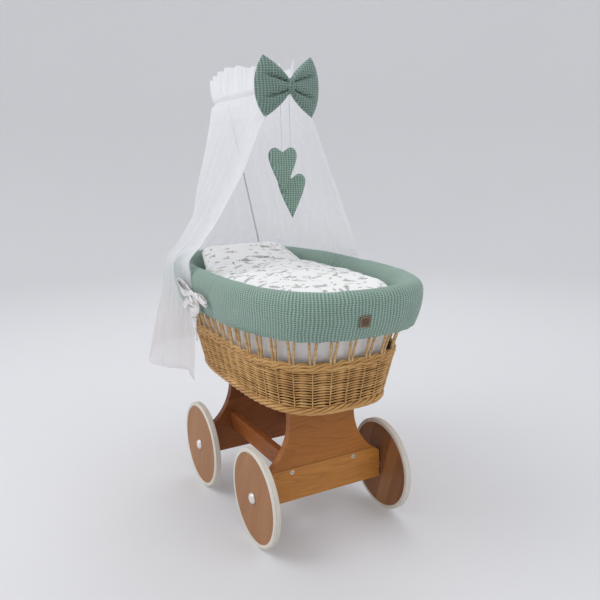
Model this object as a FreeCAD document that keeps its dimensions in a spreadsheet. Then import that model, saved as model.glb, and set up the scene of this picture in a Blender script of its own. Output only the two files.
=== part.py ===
"""Wicker bassinet on a four-wheeled wooden stand, with bumper, bedding and a sheer canopy on a rod.

Frame: millimetres, +Z up, origin on the floor under the middle of the stand.
+X points to the foot end, -X to the head end where the canopy rod stands, -Y is the left side.
"""
import FreeCAD
import Part
import math
import os
import Sketcher

Vector = FreeCAD.Vector
Rotation = FreeCAD.Rotation
Placement = FreeCAD.Placement

SIZES = {
    # stand
    "panel_place": 196.0,
    "panel_thick": 22.0,
    "panel_bottom": 98.0,
    "panel_top": 373.0,
    "panel_foot_half": 182.4,
    "flank_radius": 159.0,
    "flank_centre_y": 257.0,
    "flank_centre_z": 318.0,
    "rail_place": 95.0,
    "rail_thick": 22.0,
    "rail_bottom": 166.0,
    "rail_tall": 52.0,
    "screw_height": 178.0,
    "screw_shank_radius": 3.5,
    "screw_head_radius": 6.0,
    "screw_head_thick": 3.0,
    "screw_length": 52.0,
    # wheels
    "axle_height": 130.0,
    "axle_radius": 4.0,
    "axle_depth": 52.0,
    "tyre_radius": 130.0,
    "disc_radius": 119.5,
    "disc_thick": 17.0,
    "disc_outer_face": 206.3,
    "bush_radius": 6.5,
    "bush_play": 0.05,
    "washer_radius": 11.0,
    "side_gap": 0.4,
    "cap_radius": 15.0,
    "cap_tall": 9.0,
    # basket fixings
    "bracket_leg": 26.0,
    "bracket_width": 18.0,
    "bracket_thick": 2.0,
    "bracket_place": 62.0,
    "fixing_radius": 2.5,
    "fixing_head_radius": 5.0,
    # basket
    "base_half_x": 320.0,
    "base_half_y": 160.0,
    "base_bottom": 375.0,
    "base_thick": 9.0,
    "border_half_x": 331.5,
    "border_half_y": 171.5,
    "border_height": 386.0,
    "border_radius": 11.0,
    "wall_low": 397.5,
    "wall_high": 500.0,
    "wall_low_half_x": 336.0,
    "wall_low_half_y": 176.0,
    "wall_high_half_x": 362.0,
    "wall_high_half_y": 198.0,
    "wall_thick": 9.0,
    "waling_height": 508.0,
    "waling_radius": 7.5,
    "waling_half_x": 364.0,
    "waling_half_y": 200.0,
    "stake_count": 80.0,
    "stake_radius": 3.0,
    "stake_pair_pinch": 0.17,
    "rim_half_x": 443.0,
    "rim_half_y": 230.5,
    "rim_height": 682.0,
    "rim_radius": 8.0,
    # textiles
    "liner_thick": 3.0,
    "mattress_half_x": 312.0,
    "mattress_half_y": 152.0,
    "mattress_bottom": 392.5,
    "mattress_thick": 78.0,
    "patch_side": 28.0,
    "patch_thick": 2.0,
    # canopy
    "rod_radius": 2.4,
    "rod_place_x": -404.5,
    "rod_place_y": 112.0,
    "rod_low": 604.0,
    "rod_knee": 716.0,
    "socket_radius": 5.5,
    "socket_play": 0.05,
    "socket_top": 690.0,
    "crown_height": 1170.0,
    "crown_centre_x": -186.0,
    "crown_half_x": 222.0,
    "crown_half_y": 46.0,
    "veil_thick": 2.4,
    "bow_place_x": 73.0,
    "bow_corner_y": 73.0,
    "bow_half_y": 100.0,
    "bow_tall": 162.0,
    "bow_thick": 34.0,
    "bow_bend": 13.0,
    "knot_half_y": 14.5,
    "knot_tall": 42.0,
    "heart_width": 84.0,
    "heart_tall": 118.0,
    "heart_thick": 24.0,
    "thread_radius": 0.6,
}

WHEELS = {
    "foot_left": (1, -1),
    "foot_right": (1, 1),
    "head_left": (-1, -1),
    "head_right": (-1, 1),
}

BASKET_POWER = 3.3
RIM_POWER = 2.84

doc = FreeCAD.newDocument("Bassinet")
sheet = doc.addObject("Spreadsheet::Sheet", "Sizes")
for row, (alias, size) in enumerate(SIZES.items(), start=1):
    sheet.set(f"A{row}", alias)
    sheet.set(f"B{row}", str(size))
    sheet.setAlias(f"B{row}", alias)
doc.recompute()

parts = []


def size_of(alias):
    """A driving dimension, read from the sheet."""
    return float(sheet.get(alias))


def number(expression):
    """The value of an expression such as 'Sizes.panel_top / 2'."""
    value = sheet.evalExpression(expression)
    return float(getattr(value, "Value", value))


def keep(item):
    """Put a finished sub-part on the export list."""
    parts.append(item)
    return item


# ---------------------------------------------------------------- PartDesign helpers

def new_body(label):
    body = doc.addObject("PartDesign::Body", label)
    body.Label = label
    return body


def new_sketch(body, role, name, offset=0.0):
    """A sketch on one of the body's own origin planes, moved by offset along the plane's normal."""
    plane = next(item for item in body.Origin.OriginFeatures if item.Role == role)
    sketch = body.newObject("Sketcher::SketchObject", name)
    sketch.AttachmentSupport = (plane, [""])
    sketch.MapMode = "FlatFace"
    sketch.AttachmentOffset = Placement(Vector(0, 0, offset), Rotation())
    return sketch


def bind_point(sketch, curve, end, across, upward):
    """Hold one end of a curve at the place that two expressions give."""
    for kind, axis, expression in (("DistanceX", -2, across), ("DistanceY", -1, upward)):
        value = number(expression)
        if abs(value) < 1e-9:
            sketch.addConstraint(Sketcher.Constraint("PointOnObject", curve, end, axis))
            continue
        index = sketch.addConstraint(Sketcher.Constraint(kind, -1, 1, curve, end, value))
        sketch.setExpression(f"Constraints[{index}]", expression)


def outline(sketch, corners):
    """A closed outline of straight lines through corners, each a pair of expressions."""
    spots = [Vector(number(across), number(upward), 0) for across, upward in corners]
    curves = []
    for here, there in zip(spots, spots[1:] + spots[:1]):
        curves.append(sketch.addGeometry(Part.LineSegment(here, there), False))
    for this, after in zip(curves, curves[1:] + curves[:1]):
        sketch.addConstraint(Sketcher.Constraint("Coincident", this, 2, after, 1))
    for curve, (across, upward) in zip(curves, corners):
        bind_point(sketch, curve, 1, across, upward)


def circle(sketch, across, upward, radius):
    """A circle whose centre and radius are expressions."""
    centre = Vector(number(across), number(upward), 0)
    shape = Part.Circle(centre, Vector(0, 0, 1), number(radius))
    curve = sketch.addGeometry(shape, False)
    index = sketch.addConstraint(Sketcher.Constraint("Radius", curve, number(radius)))
    sketch.setExpression(f"Constraints[{index}]", radius)
    bind_point(sketch, curve, 3, across, upward)


def pad(body, sketch, length, midplane=False):
    feature = body.newObject("PartDesign::Pad", "Pad")
    feature.Profile = sketch
    feature.Length = number(length)
    feature.setExpression("Length", length)
    feature.Midplane = midplane
    body.Tip = feature
    doc.recompute()
    return feature


def pocket(body, sketch, length, reverse=False):
    """Cut a sketch out of the body, and make sure that it really cut."""
    before = body.Shape.Volume
    feature = body.newObject("PartDesign::Pocket", "Pocket")
    feature.Profile = sketch
    feature.Length = number(length)
    feature.setExpression("Length", length)
    feature.Reversed = reverse
    body.Tip = feature
    doc.recompute()
    if body.Shape.Volume > before - 1.0:
        raise RuntimeError(f"{body.Label}: a pocket cut nothing")
    return feature


def turn(label, corners):
    """A body turned about its own Y axis; corners are (along the axis, radius) expressions."""
    body = new_body(label)
    sketch = new_sketch(body, "YZ_Plane", label + "_profile")
    outline(sketch, corners)
    feature = body.newObject("PartDesign::Revolution", "Revolution")
    feature.Profile = sketch
    feature.ReferenceAxis = (sketch, ["H_Axis"])
    feature.Angle = 360.0
    body.Tip = feature
    doc.recompute()
    return body


# ---------------------------------------------------------------- oval helpers

def oval_points(half_x, half_y, height, power, count=48, centre_x=0.0):
    """Evenly stepped points of the superellipse |x/a|^n + |y/b|^n = 1."""
    points = []
    for step in range(count):
        angle = 2.0 * math.pi * step / count
        cosine = math.cos(angle)
        sine = math.sin(angle)
        reach = (abs(cosine) ** power + abs(sine) ** power) ** (-1.0 / power)
        points.append(Vector(centre_x + half_x * reach * cosine, half_y * reach * sine, height))
    return points


def oval_wire(half_x, half_y, height, power):
    curve = Part.BSplineCurve()
    curve.interpolate(Points=oval_points(half_x, half_y, height, power), PeriodicFlag=True)
    return Part.Wire([curve.toShape()])


def oval_solid(levels):
    """A solid through oval outlines; each level is (half_x, half_y, height, power)."""
    return Part.makeLoft([oval_wire(*level) for level in levels], True, True)


def oval_tube(half_x, half_y, height, power, radius):
    """A round tube bent along an oval."""
    path = oval_wire(half_x, half_y, height, power)
    start = oval_points(half_x, half_y, height, power)[0]
    ring = Part.Wire([Part.Circle(start, Vector(0, 1, 0), radius).toShape()])
    return path.makePipeShell([ring], True, False)


def mix(low, high, share):
    return low + (high - low) * share


def feature(label, shape):
    """A sub-part whose shape is worked out here."""
    item = doc.addObject("Part::Feature", label)
    item.Label = label
    item.Shape = shape
    return keep(item)


# ---------------------------------------------------------------- stand

def flank(foot_z, top_z, side):
    """The concave side of a panel: one arc from the foot to the top."""
    centre_y = size_of("flank_centre_y")
    centre_z = size_of("flank_centre_z")
    radius = size_of("flank_radius")

    def on_arc(height):
        return centre_y - math.sqrt(radius ** 2 - (height - centre_z) ** 2)

    waist = (foot_z + top_z) / 2.0
    return [Vector(side * on_arc(height), height, 0) for height in (foot_z, waist, top_z)]


def panel(label, place):
    """A shaped end board: straight foot, concave flanks, level top."""
    body = new_body(label)
    sketch = new_sketch(body, "YZ_Plane", label + "_outline")
    foot = size_of("panel_foot_half")
    bottom = size_of("panel_bottom")
    top = size_of("panel_top")
    reach = size_of("flank_centre_y") - foot
    foot_z = size_of("flank_centre_z") - math.sqrt(size_of("flank_radius") ** 2 - reach ** 2)
    left = flank(foot_z, top, -1)
    right = flank(foot_z, top, 1)
    corner_left = Vector(-foot, bottom, 0)
    corner_right = Vector(foot, bottom, 0)
    shapes = [
        Part.LineSegment(corner_left, corner_right),
        Part.LineSegment(corner_right, right[0]),
        Part.Arc(*right),
        Part.LineSegment(right[2], left[2]),
        Part.Arc(*left),
        Part.LineSegment(left[0], corner_left),
    ]
    for shape in shapes:
        sketch.addGeometry(shape, False)
    bind_point(sketch, 0, 1, "-Sizes.panel_foot_half", "Sizes.panel_bottom")
    bind_point(sketch, 0, 2, "Sizes.panel_foot_half", "Sizes.panel_bottom")
    pad(body, sketch, "Sizes.panel_thick", True)
    for side in (-1, 1):
        bore = new_sketch(body, "XZ_Plane", f"{label}_axle_{side}", -side * foot)
        circle(bore, "0 * Sizes.axle_radius", "Sizes.axle_height", "Sizes.axle_radius")
        pocket(body, bore, "Sizes.axle_depth", side > 0)
    face = number("Sizes.panel_thick / 2")
    holes = new_sketch(body, "YZ_Plane", label + "_screw_holes", face)
    seats = new_sketch(body, "YZ_Plane", label + "_screw_seats", face if place > 0 else -face)
    for side in ("", "-"):
        circle(holes, f"{side}Sizes.rail_place", "Sizes.screw_height", "Sizes.screw_shank_radius")
        circle(seats, f"{side}Sizes.rail_place", "Sizes.screw_height", "Sizes.screw_head_radius")
    pocket(body, holes, "Sizes.panel_thick")
    pocket(body, seats, "Sizes.screw_head_thick", place < 0)
    body.Placement = Placement(Vector(place, 0, 0), Rotation())
    return keep(body)


def rail(label, side):
    """A lengthwise board between the two panels, bored at its ends for the screws."""
    body = new_body(label)
    sketch = new_sketch(body, "YZ_Plane", label + "_section")
    outline(sketch, [
        ("-Sizes.rail_thick / 2", "Sizes.rail_bottom"),
        ("Sizes.rail_thick / 2", "Sizes.rail_bottom"),
        ("Sizes.rail_thick / 2", "Sizes.rail_bottom + Sizes.rail_tall"),
        ("-Sizes.rail_thick / 2", "Sizes.rail_bottom + Sizes.rail_tall"),
    ])
    pad(body, sketch, "2 * Sizes.panel_place - Sizes.panel_thick", True)
    half = number("Sizes.panel_place - Sizes.panel_thick / 2")
    for end in (-1, 1):
        bore = new_sketch(body, "YZ_Plane", f"{label}_bore_{end}", end * half)
        circle(bore, "0 * Sizes.rail_place", "Sizes.screw_height", "Sizes.screw_shank_radius")
        pocket(body, bore, "Sizes.screw_length - Sizes.panel_thick", end < 0)
    edges = [
        f"Edge{index}"
        for index, edge in enumerate(body.Shape.Edges, start=1)
        if edge.Length > 1.9 * half
    ]
    board = body.Tip
    rounding = body.newObject("PartDesign::Fillet", "Fillet")
    rounding.Base = (board, edges)
    rounding.Radius = 3.0
    body.Tip = rounding
    doc.recompute()
    body.Placement = Placement(Vector(0, side * size_of("rail_place"), 0), Rotation())
    return keep(body)


def rail_screws():
    """Four furniture screws, flush with the outer faces of the panels."""
    outer = number("Sizes.panel_place + Sizes.panel_thick / 2")
    head = size_of("screw_head_thick")
    solids = []
    for end in (-1, 1):
        for side in (-1, 1):
            face = Vector(end * outer, side * size_of("rail_place"), size_of("screw_height"))
            inward = Vector(-end, 0, 0)
            top = Part.makeCylinder(size_of("screw_head_radius"), head, face, inward)
            length = size_of("screw_length") - head
            shank = Part.makeCylinder(
                size_of("screw_shank_radius"), length, face + inward * head, inward
            )
            socket = Part.makeCylinder(2.0, 2.0, face, inward)
            solids.append(top.fuse(shank).cut(socket).removeSplitter())
    return feature("rail_screws", Part.Compound(solids))


# ---------------------------------------------------------------- wheels

def wheel(name, end, side):
    """One disc wheel with its tyre and bush, and the fixed axle bolt, washer and cap."""
    inner = "Sizes.disc_outer_face - Sizes.disc_thick"
    outer = "Sizes.disc_outer_face"
    chamfer = "1.2"
    disc = turn(name + "_wheel_disc", [
        (inner, "Sizes.bush_radius"),
        (inner, f"Sizes.disc_radius - {chamfer}"),
        (f"{inner} + {chamfer}", "Sizes.disc_radius"),
        (f"{outer} - {chamfer}", "Sizes.disc_radius"),
        (outer, f"Sizes.disc_radius - {chamfer}"),
        (outer, "Sizes.bush_radius"),
    ])
    bush = turn(name + "_wheel_bush", [
        (inner, "Sizes.axle_radius + Sizes.bush_play"),
        (inner, "Sizes.bush_radius"),
        (outer, "Sizes.bush_radius"),
        (outer, "Sizes.axle_radius + Sizes.bush_play"),
    ])
    tyre = turn(name + "_tyre", tyre_profile(inner, outer))
    bolt = turn(name + "_axle_bolt", [
        ("Sizes.panel_foot_half - Sizes.axle_depth", "0 * Sizes.axle_radius"),
        ("Sizes.panel_foot_half - Sizes.axle_depth", "Sizes.axle_radius"),
        (f"{outer} + Sizes.side_gap + 3", "Sizes.axle_radius"),
        (f"{outer} + Sizes.side_gap + 3", "0 * Sizes.axle_radius"),
    ])
    washer = turn(name + "_spacer", [
        ("Sizes.panel_foot_half", "Sizes.axle_radius"),
        ("Sizes.panel_foot_half", "Sizes.washer_radius"),
        (f"{inner} - Sizes.side_gap", "Sizes.washer_radius"),
        (f"{inner} - Sizes.side_gap", "Sizes.axle_radius"),
    ])
    start = f"{outer} + Sizes.side_gap"
    cap = turn(name + "_hub_cap", [
        (start, "Sizes.axle_radius"),
        (start, "Sizes.cap_radius"),
        (f"{start} + 1.6", "Sizes.cap_radius"),
        (f"{start} + 0.5 * Sizes.cap_tall", "Sizes.cap_radius * 0.93"),
        (f"{start} + 0.8 * Sizes.cap_tall", "Sizes.cap_radius * 0.75"),
        (f"{start} + 0.95 * Sizes.cap_tall", "Sizes.cap_radius * 0.45"),
        (f"{start} + Sizes.cap_tall", "0 * Sizes.cap_radius"),
        (f"{start} + 3", "0 * Sizes.cap_radius"),
        (f"{start} + 3", "Sizes.axle_radius"),
    ])
    flip = Rotation(Vector(0, 0, 1), 0 if side > 0 else 180)
    spot = Vector(end * size_of("panel_place"), 0, size_of("axle_height"))
    for body in (disc, bush, tyre, bolt, washer, cap):
        body.Placement = Placement(spot, flip)
        keep(body)


def tyre_profile(inner, outer):
    """A flat rubber band with two shallow grooves round its tread."""
    crown = "Sizes.tyre_radius"
    groove = "Sizes.tyre_radius - 1.3"
    middle = f"({inner} + {outer}) / 2"
    corners = [
        (inner, "Sizes.disc_radius"),
        (f"{inner} - 0.6", "Sizes.disc_radius + 1"),
        (f"{inner} - 0.6", f"{crown} - 3"),
        (f"{inner} + 2", crown),
    ]
    for shift in ("- 3", "+ 3"):
        corners += [
            (f"{middle} {shift} - 1", crown),
            (f"{middle} {shift} - 0.5", groove),
            (f"{middle} {shift} + 0.5", groove),
            (f"{middle} {shift} + 1", crown),
        ]
    corners += [
        (f"{outer} - 2", crown),
        (f"{outer} + 0.6", f"{crown} - 3"),
        (f"{outer} + 0.6", "Sizes.disc_radius + 1"),
        (outer, "Sizes.disc_radius"),
    ]
    return corners


# ---------------------------------------------------------------- basket fixings

def basket_brackets():
    """Four steel angles in the corner between the panels and the underside of the basket,
    with the bolts through the base board and the screws into the panels."""
    leg = size_of("bracket_leg")
    width = size_of("bracket_width")
    thick = size_of("bracket_thick")
    radius = size_of("fixing_radius")
    head = size_of("fixing_head_radius")
    under = size_of("base_bottom")
    panel_top = size_of("panel_top")
    face = number("Sizes.panel_place - Sizes.panel_thick / 2")
    base_top = under + size_of("base_thick")
    angles = []
    bolts = []
    screws = []
    for end in (-1, 1):
        for side in (-1, 1):
            y = side * size_of("bracket_place")
            inward = -end
            low_x = min(end * face, end * face + inward * leg)
            level = Part.makeBox(leg, width, thick, Vector(low_x, y - width / 2, under - thick))
            upright_x = min(end * face, end * face + inward * thick)
            drop = leg - (under - panel_top)
            upright = Part.makeBox(
                thick, width, drop, Vector(upright_x, y - width / 2, under - thick - drop)
            )
            bolt_x = end * face + inward * leg * 0.62
            screw_z = under - thick - leg * 0.55
            up = Vector(0, 0, 1)
            across = Vector(end, 0, 0)
            stem_start = Vector(bolt_x, y, under - thick - 3)
            stem = Part.makeCylinder(radius, base_top - stem_start.z + 3, stem_start, up)
            bolt_head = Part.makeCylinder(head, 3, stem_start, up)
            nut = Part.makeCylinder(head, 3, Vector(bolt_x, y, base_top), up)
            screw_start = Vector(end * face + inward * (thick + 2), y, screw_z)
            screw_stem = Part.makeCylinder(radius, thick + 2 + 16, screw_start, across)
            screw_head = Part.makeCylinder(head - 0.5, 2, screw_start, across)
            angle = level.fuse(upright).removeSplitter()
            angle = angle.cut(stem).cut(screw_stem)
            angles.append(angle)
            bolts.append(stem.fuse(bolt_head).fuse(nut).removeSplitter())
            screws.append(screw_stem.fuse(screw_head).removeSplitter())
    feature("basket_brackets", Part.Compound(angles))
    feature("basket_bolts", Part.Compound(bolts))
    feature("bracket_screws", Part.Compound(screws))
    return bolts, screws


# ---------------------------------------------------------------- basket

def stake_line(angle):
    """Bottom and top of the slanting upright that stands at one angle round the oval."""
    low = oval_at(
        size_of("waling_half_x"), size_of("waling_half_y"), BASKET_POWER, angle,
        size_of("waling_height") + size_of("waling_radius") + 1.4,
    )
    high = oval_at(
        size_of("rim_half_x"), size_of("rim_half_y"), RIM_POWER, angle,
        size_of("rim_height") - size_of("rim_radius") - 1.6,
    )
    return low, high


def oval_at(half_x, half_y, power, angle, height):
    cosine = math.cos(angle)
    sine = math.sin(angle)
    reach = (abs(cosine) ** power + abs(sine) ** power) ** (-1.0 / power)
    return Vector(half_x * reach * cosine, half_y * reach * sine, height)


def even_angles(half_x, half_y, power, count):
    """Angles that divide an oval into equal lengths, starting half a step from +X."""
    fine = 1440
    track = [oval_at(half_x, half_y, power, 2 * math.pi * i / fine, 0) for i in range(fine + 1)]
    walked = [0.0]
    for here, there in zip(track, track[1:]):
        walked.append(walked[-1] + (there - here).Length)
    angles = []
    index = 0
    for step in range(count):
        goal = walked[-1] * (step + 0.5) / count
        while walked[index + 1] < goal:
            index += 1
        share = (goal - walked[index]) / (walked[index + 1] - walked[index])
        angles.append(2 * math.pi * (index + share) / fine)
    return angles


def stakes():
    """Pairs of uprights: close together at the waling, fanned apart at the rim."""
    count = int(size_of("stake_count"))
    angles = even_angles(size_of("waling_half_x"), size_of("waling_half_y"), BASKET_POWER, count)
    pinch = size_of("stake_pair_pinch")
    radius = size_of("stake_radius")
    rods = []
    for first in range(0, count, 2):
        middle = (angles[first] + angles[first + 1]) / 2
        for angle in (angles[first], angles[first + 1]):
            low = stake_line(mix(middle, angle, pinch * 2))[0]
            high = stake_line(angle)[1]
            rods.append(Part.makeCylinder(radius, (high - low).Length, low, high - low))
    return rods


def basket():
    power = BASKET_POWER
    fixings = basket_brackets()
    board = oval_solid([
        (size_of("base_half_x"), size_of("base_half_y"), size_of("base_bottom"), power),
        (size_of("base_half_x"), size_of("base_half_y"), number(
            "Sizes.base_bottom + Sizes.base_thick"), power),
    ])
    for bolt in fixings[0]:
        board = board.cut(bolt)
    feature("base_board", board)
    feature("foot_border", oval_tube(
        size_of("border_half_x"), size_of("border_half_y"), size_of("border_height"), power,
        size_of("border_radius"),
    ))
    half = size_of("wall_thick") / 2
    feature("woven_wall", oval_ring(half, (
        (size_of("wall_low_half_x"), size_of("wall_low_half_y"), size_of("wall_low"), power),
        (size_of("wall_high_half_x"), size_of("wall_high_half_y"), size_of("wall_high"), power),
    )))
    feature("waling_band", oval_tube(
        size_of("waling_half_x"), size_of("waling_half_y"), size_of("waling_height"), power,
        size_of("waling_radius"),
    ))
    rods = stakes()
    feature("stakes", Part.Compound(rods))
    feature("wicker_rim", oval_tube(
        size_of("rim_half_x"), size_of("rim_half_y"), size_of("rim_height"), RIM_POWER,
        size_of("rim_radius"),
    ))


def oval_ring(half, levels):
    """A thin flared wall: half its thickness on each side of the oval levels."""
    outer = [(x + half, y + half, height, power) for x, y, height, power in levels]
    inner = [(x - half, y - half, height, power) for x, y, height, power in levels]
    return oval_solid(outer).cut(oval_solid(inner))


# ---------------------------------------------------------------- textiles in the basket

LINER_LEVELS = (
    (318.0, 158.0, 388.5, 3.3),
    (329.0, 168.5, 400.0, 3.3),
    (353.0, 189.0, 505.0, 3.3),
    (383.0, 203.0, 590.0, 3.0),
    (401.0, 208.0, 640.0, 2.84),
)


def liner():
    """A cotton bag inside the wicker: floor and flared wall, open at the top."""
    thick = size_of("liner_thick")
    inner = [(x - thick, y - thick, height, power) for x, y, height, power in LINER_LEVELS]
    inner[0] = inner[0][:2] + (LINER_LEVELS[0][2] + thick,) + inner[0][3:]
    bag = oval_solid(LINER_LEVELS)
    return feature("liner", bag.cut(oval_solid(inner)))


def mattress():
    half_x = size_of("mattress_half_x")
    half_y = size_of("mattress_half_y")
    low = size_of("mattress_bottom")
    high = low + size_of("mattress_thick")
    return feature("mattress", oval_solid([
        (half_x - 6, half_y - 6, low, BASKET_POWER),
        (half_x, half_y, low + 8, BASKET_POWER),
        (half_x, half_y, high - 8, BASKET_POWER),
        (half_x - 6, half_y - 6, high, BASKET_POWER),
    ]))


DUVET_LEVELS = (
    (325.0, 165.0, 471.0, 3.3),
    (366.0, 190.0, 580.0, 3.0),
    (380.0, 188.0, 620.0, 2.84),
    (384.0, 188.0, 645.0, 2.84),
    (376.0, 180.0, 664.0, 2.84),
    (345.0, 152.0, 678.0, 2.84),
    (280.0, 104.0, 686.0, 2.84),
)
DUVET_HEAD_X = -165.0
DUVET_UNDER_PILLOW = 640.0


def duvet():
    """A thick folded duvet that fills the basket, crowned, and lower under the pillow."""
    shape = oval_solid(DUVET_LEVELS)
    notch = Part.makeBox(
        500, 600, 200, Vector(DUVET_HEAD_X - 500, -300, DUVET_UNDER_PILLOW)
    )
    return feature("duvet", shape.cut(notch))


def pillow():
    """A flat child's pillow, raised at the head end."""
    long_side = 200.0
    wide_side = 322.0
    thick = 36.0

    def corners(box, low_x, high_x):
        return [
            edge for edge in box.Edges
            if edge.BoundBox.ZLength > thick / 2 and low_x < edge.CenterOfMass.x < high_x
        ]

    box = Part.makeBox(long_side, wide_side, thick, Vector(-long_side, -wide_side / 2, 0))
    box = box.makeFillet(110.0, corners(box, -long_side - 1, -long_side + 1))
    box = box.makeFillet(24.0, corners(box, -1, 1))
    flat = [edge for edge in box.Edges if edge.BoundBox.ZLength < 0.01]
    box = box.makeFillet(thick * 0.38, flat)
    item = feature("pillow", box)
    item.Placement = Placement(Vector(-188, 0, 647), Rotation(Vector(0, 1, 0), 13))
    return item


BUMPER_OUTER = (
    (442.0, 243.5, 585.0, 2.84),
    (456.0, 250.0, 615.0, 2.84),
    (465.0, 254.0, 650.0, 2.84),
    (467.0, 255.0, 676.0, 2.84),
    (460.0, 248.0, 692.0, 2.84),
    (447.0, 235.0, 700.0, 2.84),
)
BUMPER_OPENING = (
    (392.0, 194.0, 584.0, 2.84),
    (392.0, 194.0, 620.0, 2.84),
    (402.0, 196.0, 650.0, 2.84),
    (412.0, 199.5, 676.0, 2.84),
    (421.0, 208.5, 692.0, 2.84),
    (434.0, 221.5, 701.0, 2.84),
)
BUMPER_FLAP_LOW = 640.0


def bumper():
    """A padded cover that hangs over the rim: outer pad, rounded top, short inner flap."""
    outer = oval_solid(BUMPER_OUTER)
    opening = oval_solid(BUMPER_OPENING)
    pad_outer = oval_solid((
        (427.0, 228.5, 584.0, 2.84),
        (452.5, 240.5, 650.0, 2.84),
        (453.5, 241.5, 692.0, 2.84),
    ))
    pad_inner = oval_solid((
        (407.0, 206.0, 583.0, 2.84),
        (412.0, 209.0, 655.0, 2.84),
        (422.0, 211.0, 693.0, 2.84),
    ))
    cavity = pad_outer.cut(pad_inner)
    below_flap = oval_solid((
        (420.0, 221.0, 584.0, 2.84),
        (420.0, 221.0, BUMPER_FLAP_LOW, 2.84),
    ))
    shape = outer.cut(opening).cut(cavity).cut(below_flap)
    rod_hole = Part.makeCylinder(
        size_of("rod_radius") + 2.0, 60,
        Vector(size_of("rod_place_x"), size_of("rod_place_y"), 680),
    )
    return feature("bumper", shape.cut(rod_hole))


def leather_patch():
    """A small square leather patch on the outside of the bumper."""
    side = size_of("patch_side")
    body = new_body("leather_patch")
    sketch = new_sketch(body, "YZ_Plane", "patch_square")
    outline(sketch, [
        ("-Sizes.patch_side / 2", "-Sizes.patch_side / 2"),
        ("Sizes.patch_side / 2", "-Sizes.patch_side / 2"),
        ("Sizes.patch_side / 2", "Sizes.patch_side / 2"),
        ("-Sizes.patch_side / 2", "Sizes.patch_side / 2"),
    ])
    pad(body, sketch, "Sizes.patch_thick")
    spot = oval_at(460.5, 252.0, RIM_POWER, PATCH_ANGLE, PATCH_HEIGHT)
    ahead = oval_at(460.5, 252.0, RIM_POWER, PATCH_ANGLE + 0.01, PATCH_HEIGHT)
    along = (ahead - spot).normalize()
    level = along.cross(Vector(0, 0, 1)).normalize()
    lean = Rotation(along, PATCH_LEAN)
    facing = lean.multVec(level)
    turn_to = lean.multiply(Rotation(Vector(1, 0, 0), level))
    body.Placement = Placement(spot + facing * 1.2, turn_to)
    return keep(body)


PATCH_ANGLE = -0.14
PATCH_HEIGHT = 632.0
PATCH_LEAN = 14.0


TIE_KNOT = Vector(-55.0, 261.0, 637.0)
TIE_THICK = 6.0
TIE_OUTLINES = (
    ((-4, -6), (-4, 5), (-60, 24), (-104, 20), (-106, -26), (-60, -22)),
    ((4, -6), (4, 5), (50, 2), (96, -2), (92, -20), (46, -20)),
    ((-2, -6), (10, -6), (20, -58), (10, -131), (5, -131), (-4, -58)),
    ((-4, -6), (-8, 2), (-88, -38), (-104, -64), (-70, -52)),
)


def tie_bow(label, side):
    """A ribbon bow tied round the bumper: a knot, two loops and two tails, all flat against it."""
    pieces = [Part.makeBox(16, TIE_THICK + 1, 18, Vector(-8, -TIE_THICK / 2 - 0.5, -9))]
    for flat in TIE_OUTLINES:
        corners = [Vector(x, -TIE_THICK / 2, z) for x, z in flat]
        face = Part.Face(Part.makePolygon(corners + corners[:1]))
        pieces.append(face.extrude(Vector(0, TIE_THICK, 0)))
    item = feature(label, pieces[0].multiFuse(pieces[1:]))
    item.Placement = Placement(Vector(TIE_KNOT.x, side * TIE_KNOT.y, TIE_KNOT.z), Rotation())
    return item


# ---------------------------------------------------------------- canopy

def rounded_path(points, radii):
    """A wire of straight runs joined by tangent arcs."""
    edges = []
    start = points[0]
    for before, corner, after, radius in zip(points, points[1:], points[2:], radii):
        incoming = (corner - before).normalize()
        outgoing = (after - corner).normalize()
        bend = incoming.getAngle(outgoing)
        back = radius * math.tan(bend / 2)
        first = corner - incoming * back
        last = corner + outgoing * back
        inward = (outgoing - incoming).normalize()
        middle = corner + inward * (radius / math.cos(bend / 2) - radius)
        edges.append(Part.LineSegment(start, first).toShape())
        edges.append(Part.Arc(first, middle, last).toShape())
        start = last
    edges.append(Part.LineSegment(start, points[-1]).toShape())
    return Part.Wire(edges)


def swept_rod(path, start, direction, radius):
    ring = Part.Wire([Part.Circle(start, direction, radius).toShape()])
    return path.makePipeShell([ring], True, False)


def canopy_rod():
    """A steel rod: upright in its socket, then leaning towards the middle up to the crown."""
    x = size_of("rod_place_x")
    y = size_of("rod_place_y")
    top = Vector(x, 18.0, size_of("crown_height"))
    points = [
        Vector(x, y, size_of("rod_low")),
        Vector(x, y, size_of("rod_knee")),
        top,
    ]
    path = rounded_path(points, [120.0])
    shape = swept_rod(path, points[0], Vector(0, 0, 1), size_of("rod_radius"))
    return feature("canopy_rod", shape)


def crown_loop():
    """The closed level loop at the top of the rod, on which the veil is gathered."""
    loop = oval_tube(
        size_of("crown_half_x"), size_of("crown_half_y"), size_of("crown_height"), RIM_POWER,
        size_of("rod_radius"),
    )
    loop.translate(Vector(size_of("crown_centre_x"), 0, 0))
    return feature("crown_loop", loop)


def rod_socket():
    """A steel tube, closed below, in which the rod stands, and the plate that holds it to the rim."""
    x = size_of("rod_place_x")
    y = size_of("rod_place_y")
    low = size_of("rod_low") - 4.0
    height = size_of("socket_top") - low
    outside = Part.makeCylinder(size_of("socket_radius"), height, Vector(x, y, low))
    bore = Part.makeCylinder(
        number("Sizes.rod_radius + Sizes.socket_play"), height, Vector(x, y, low + 3.95)
    )
    feature("rod_socket", outside.cut(bore))
    plate = Part.makeBox(8.6, 12, 12, Vector(x - 8.6, y - 6, 676))
    plate = plate.cut(outside)
    return feature("socket_clamp", plate)


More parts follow.
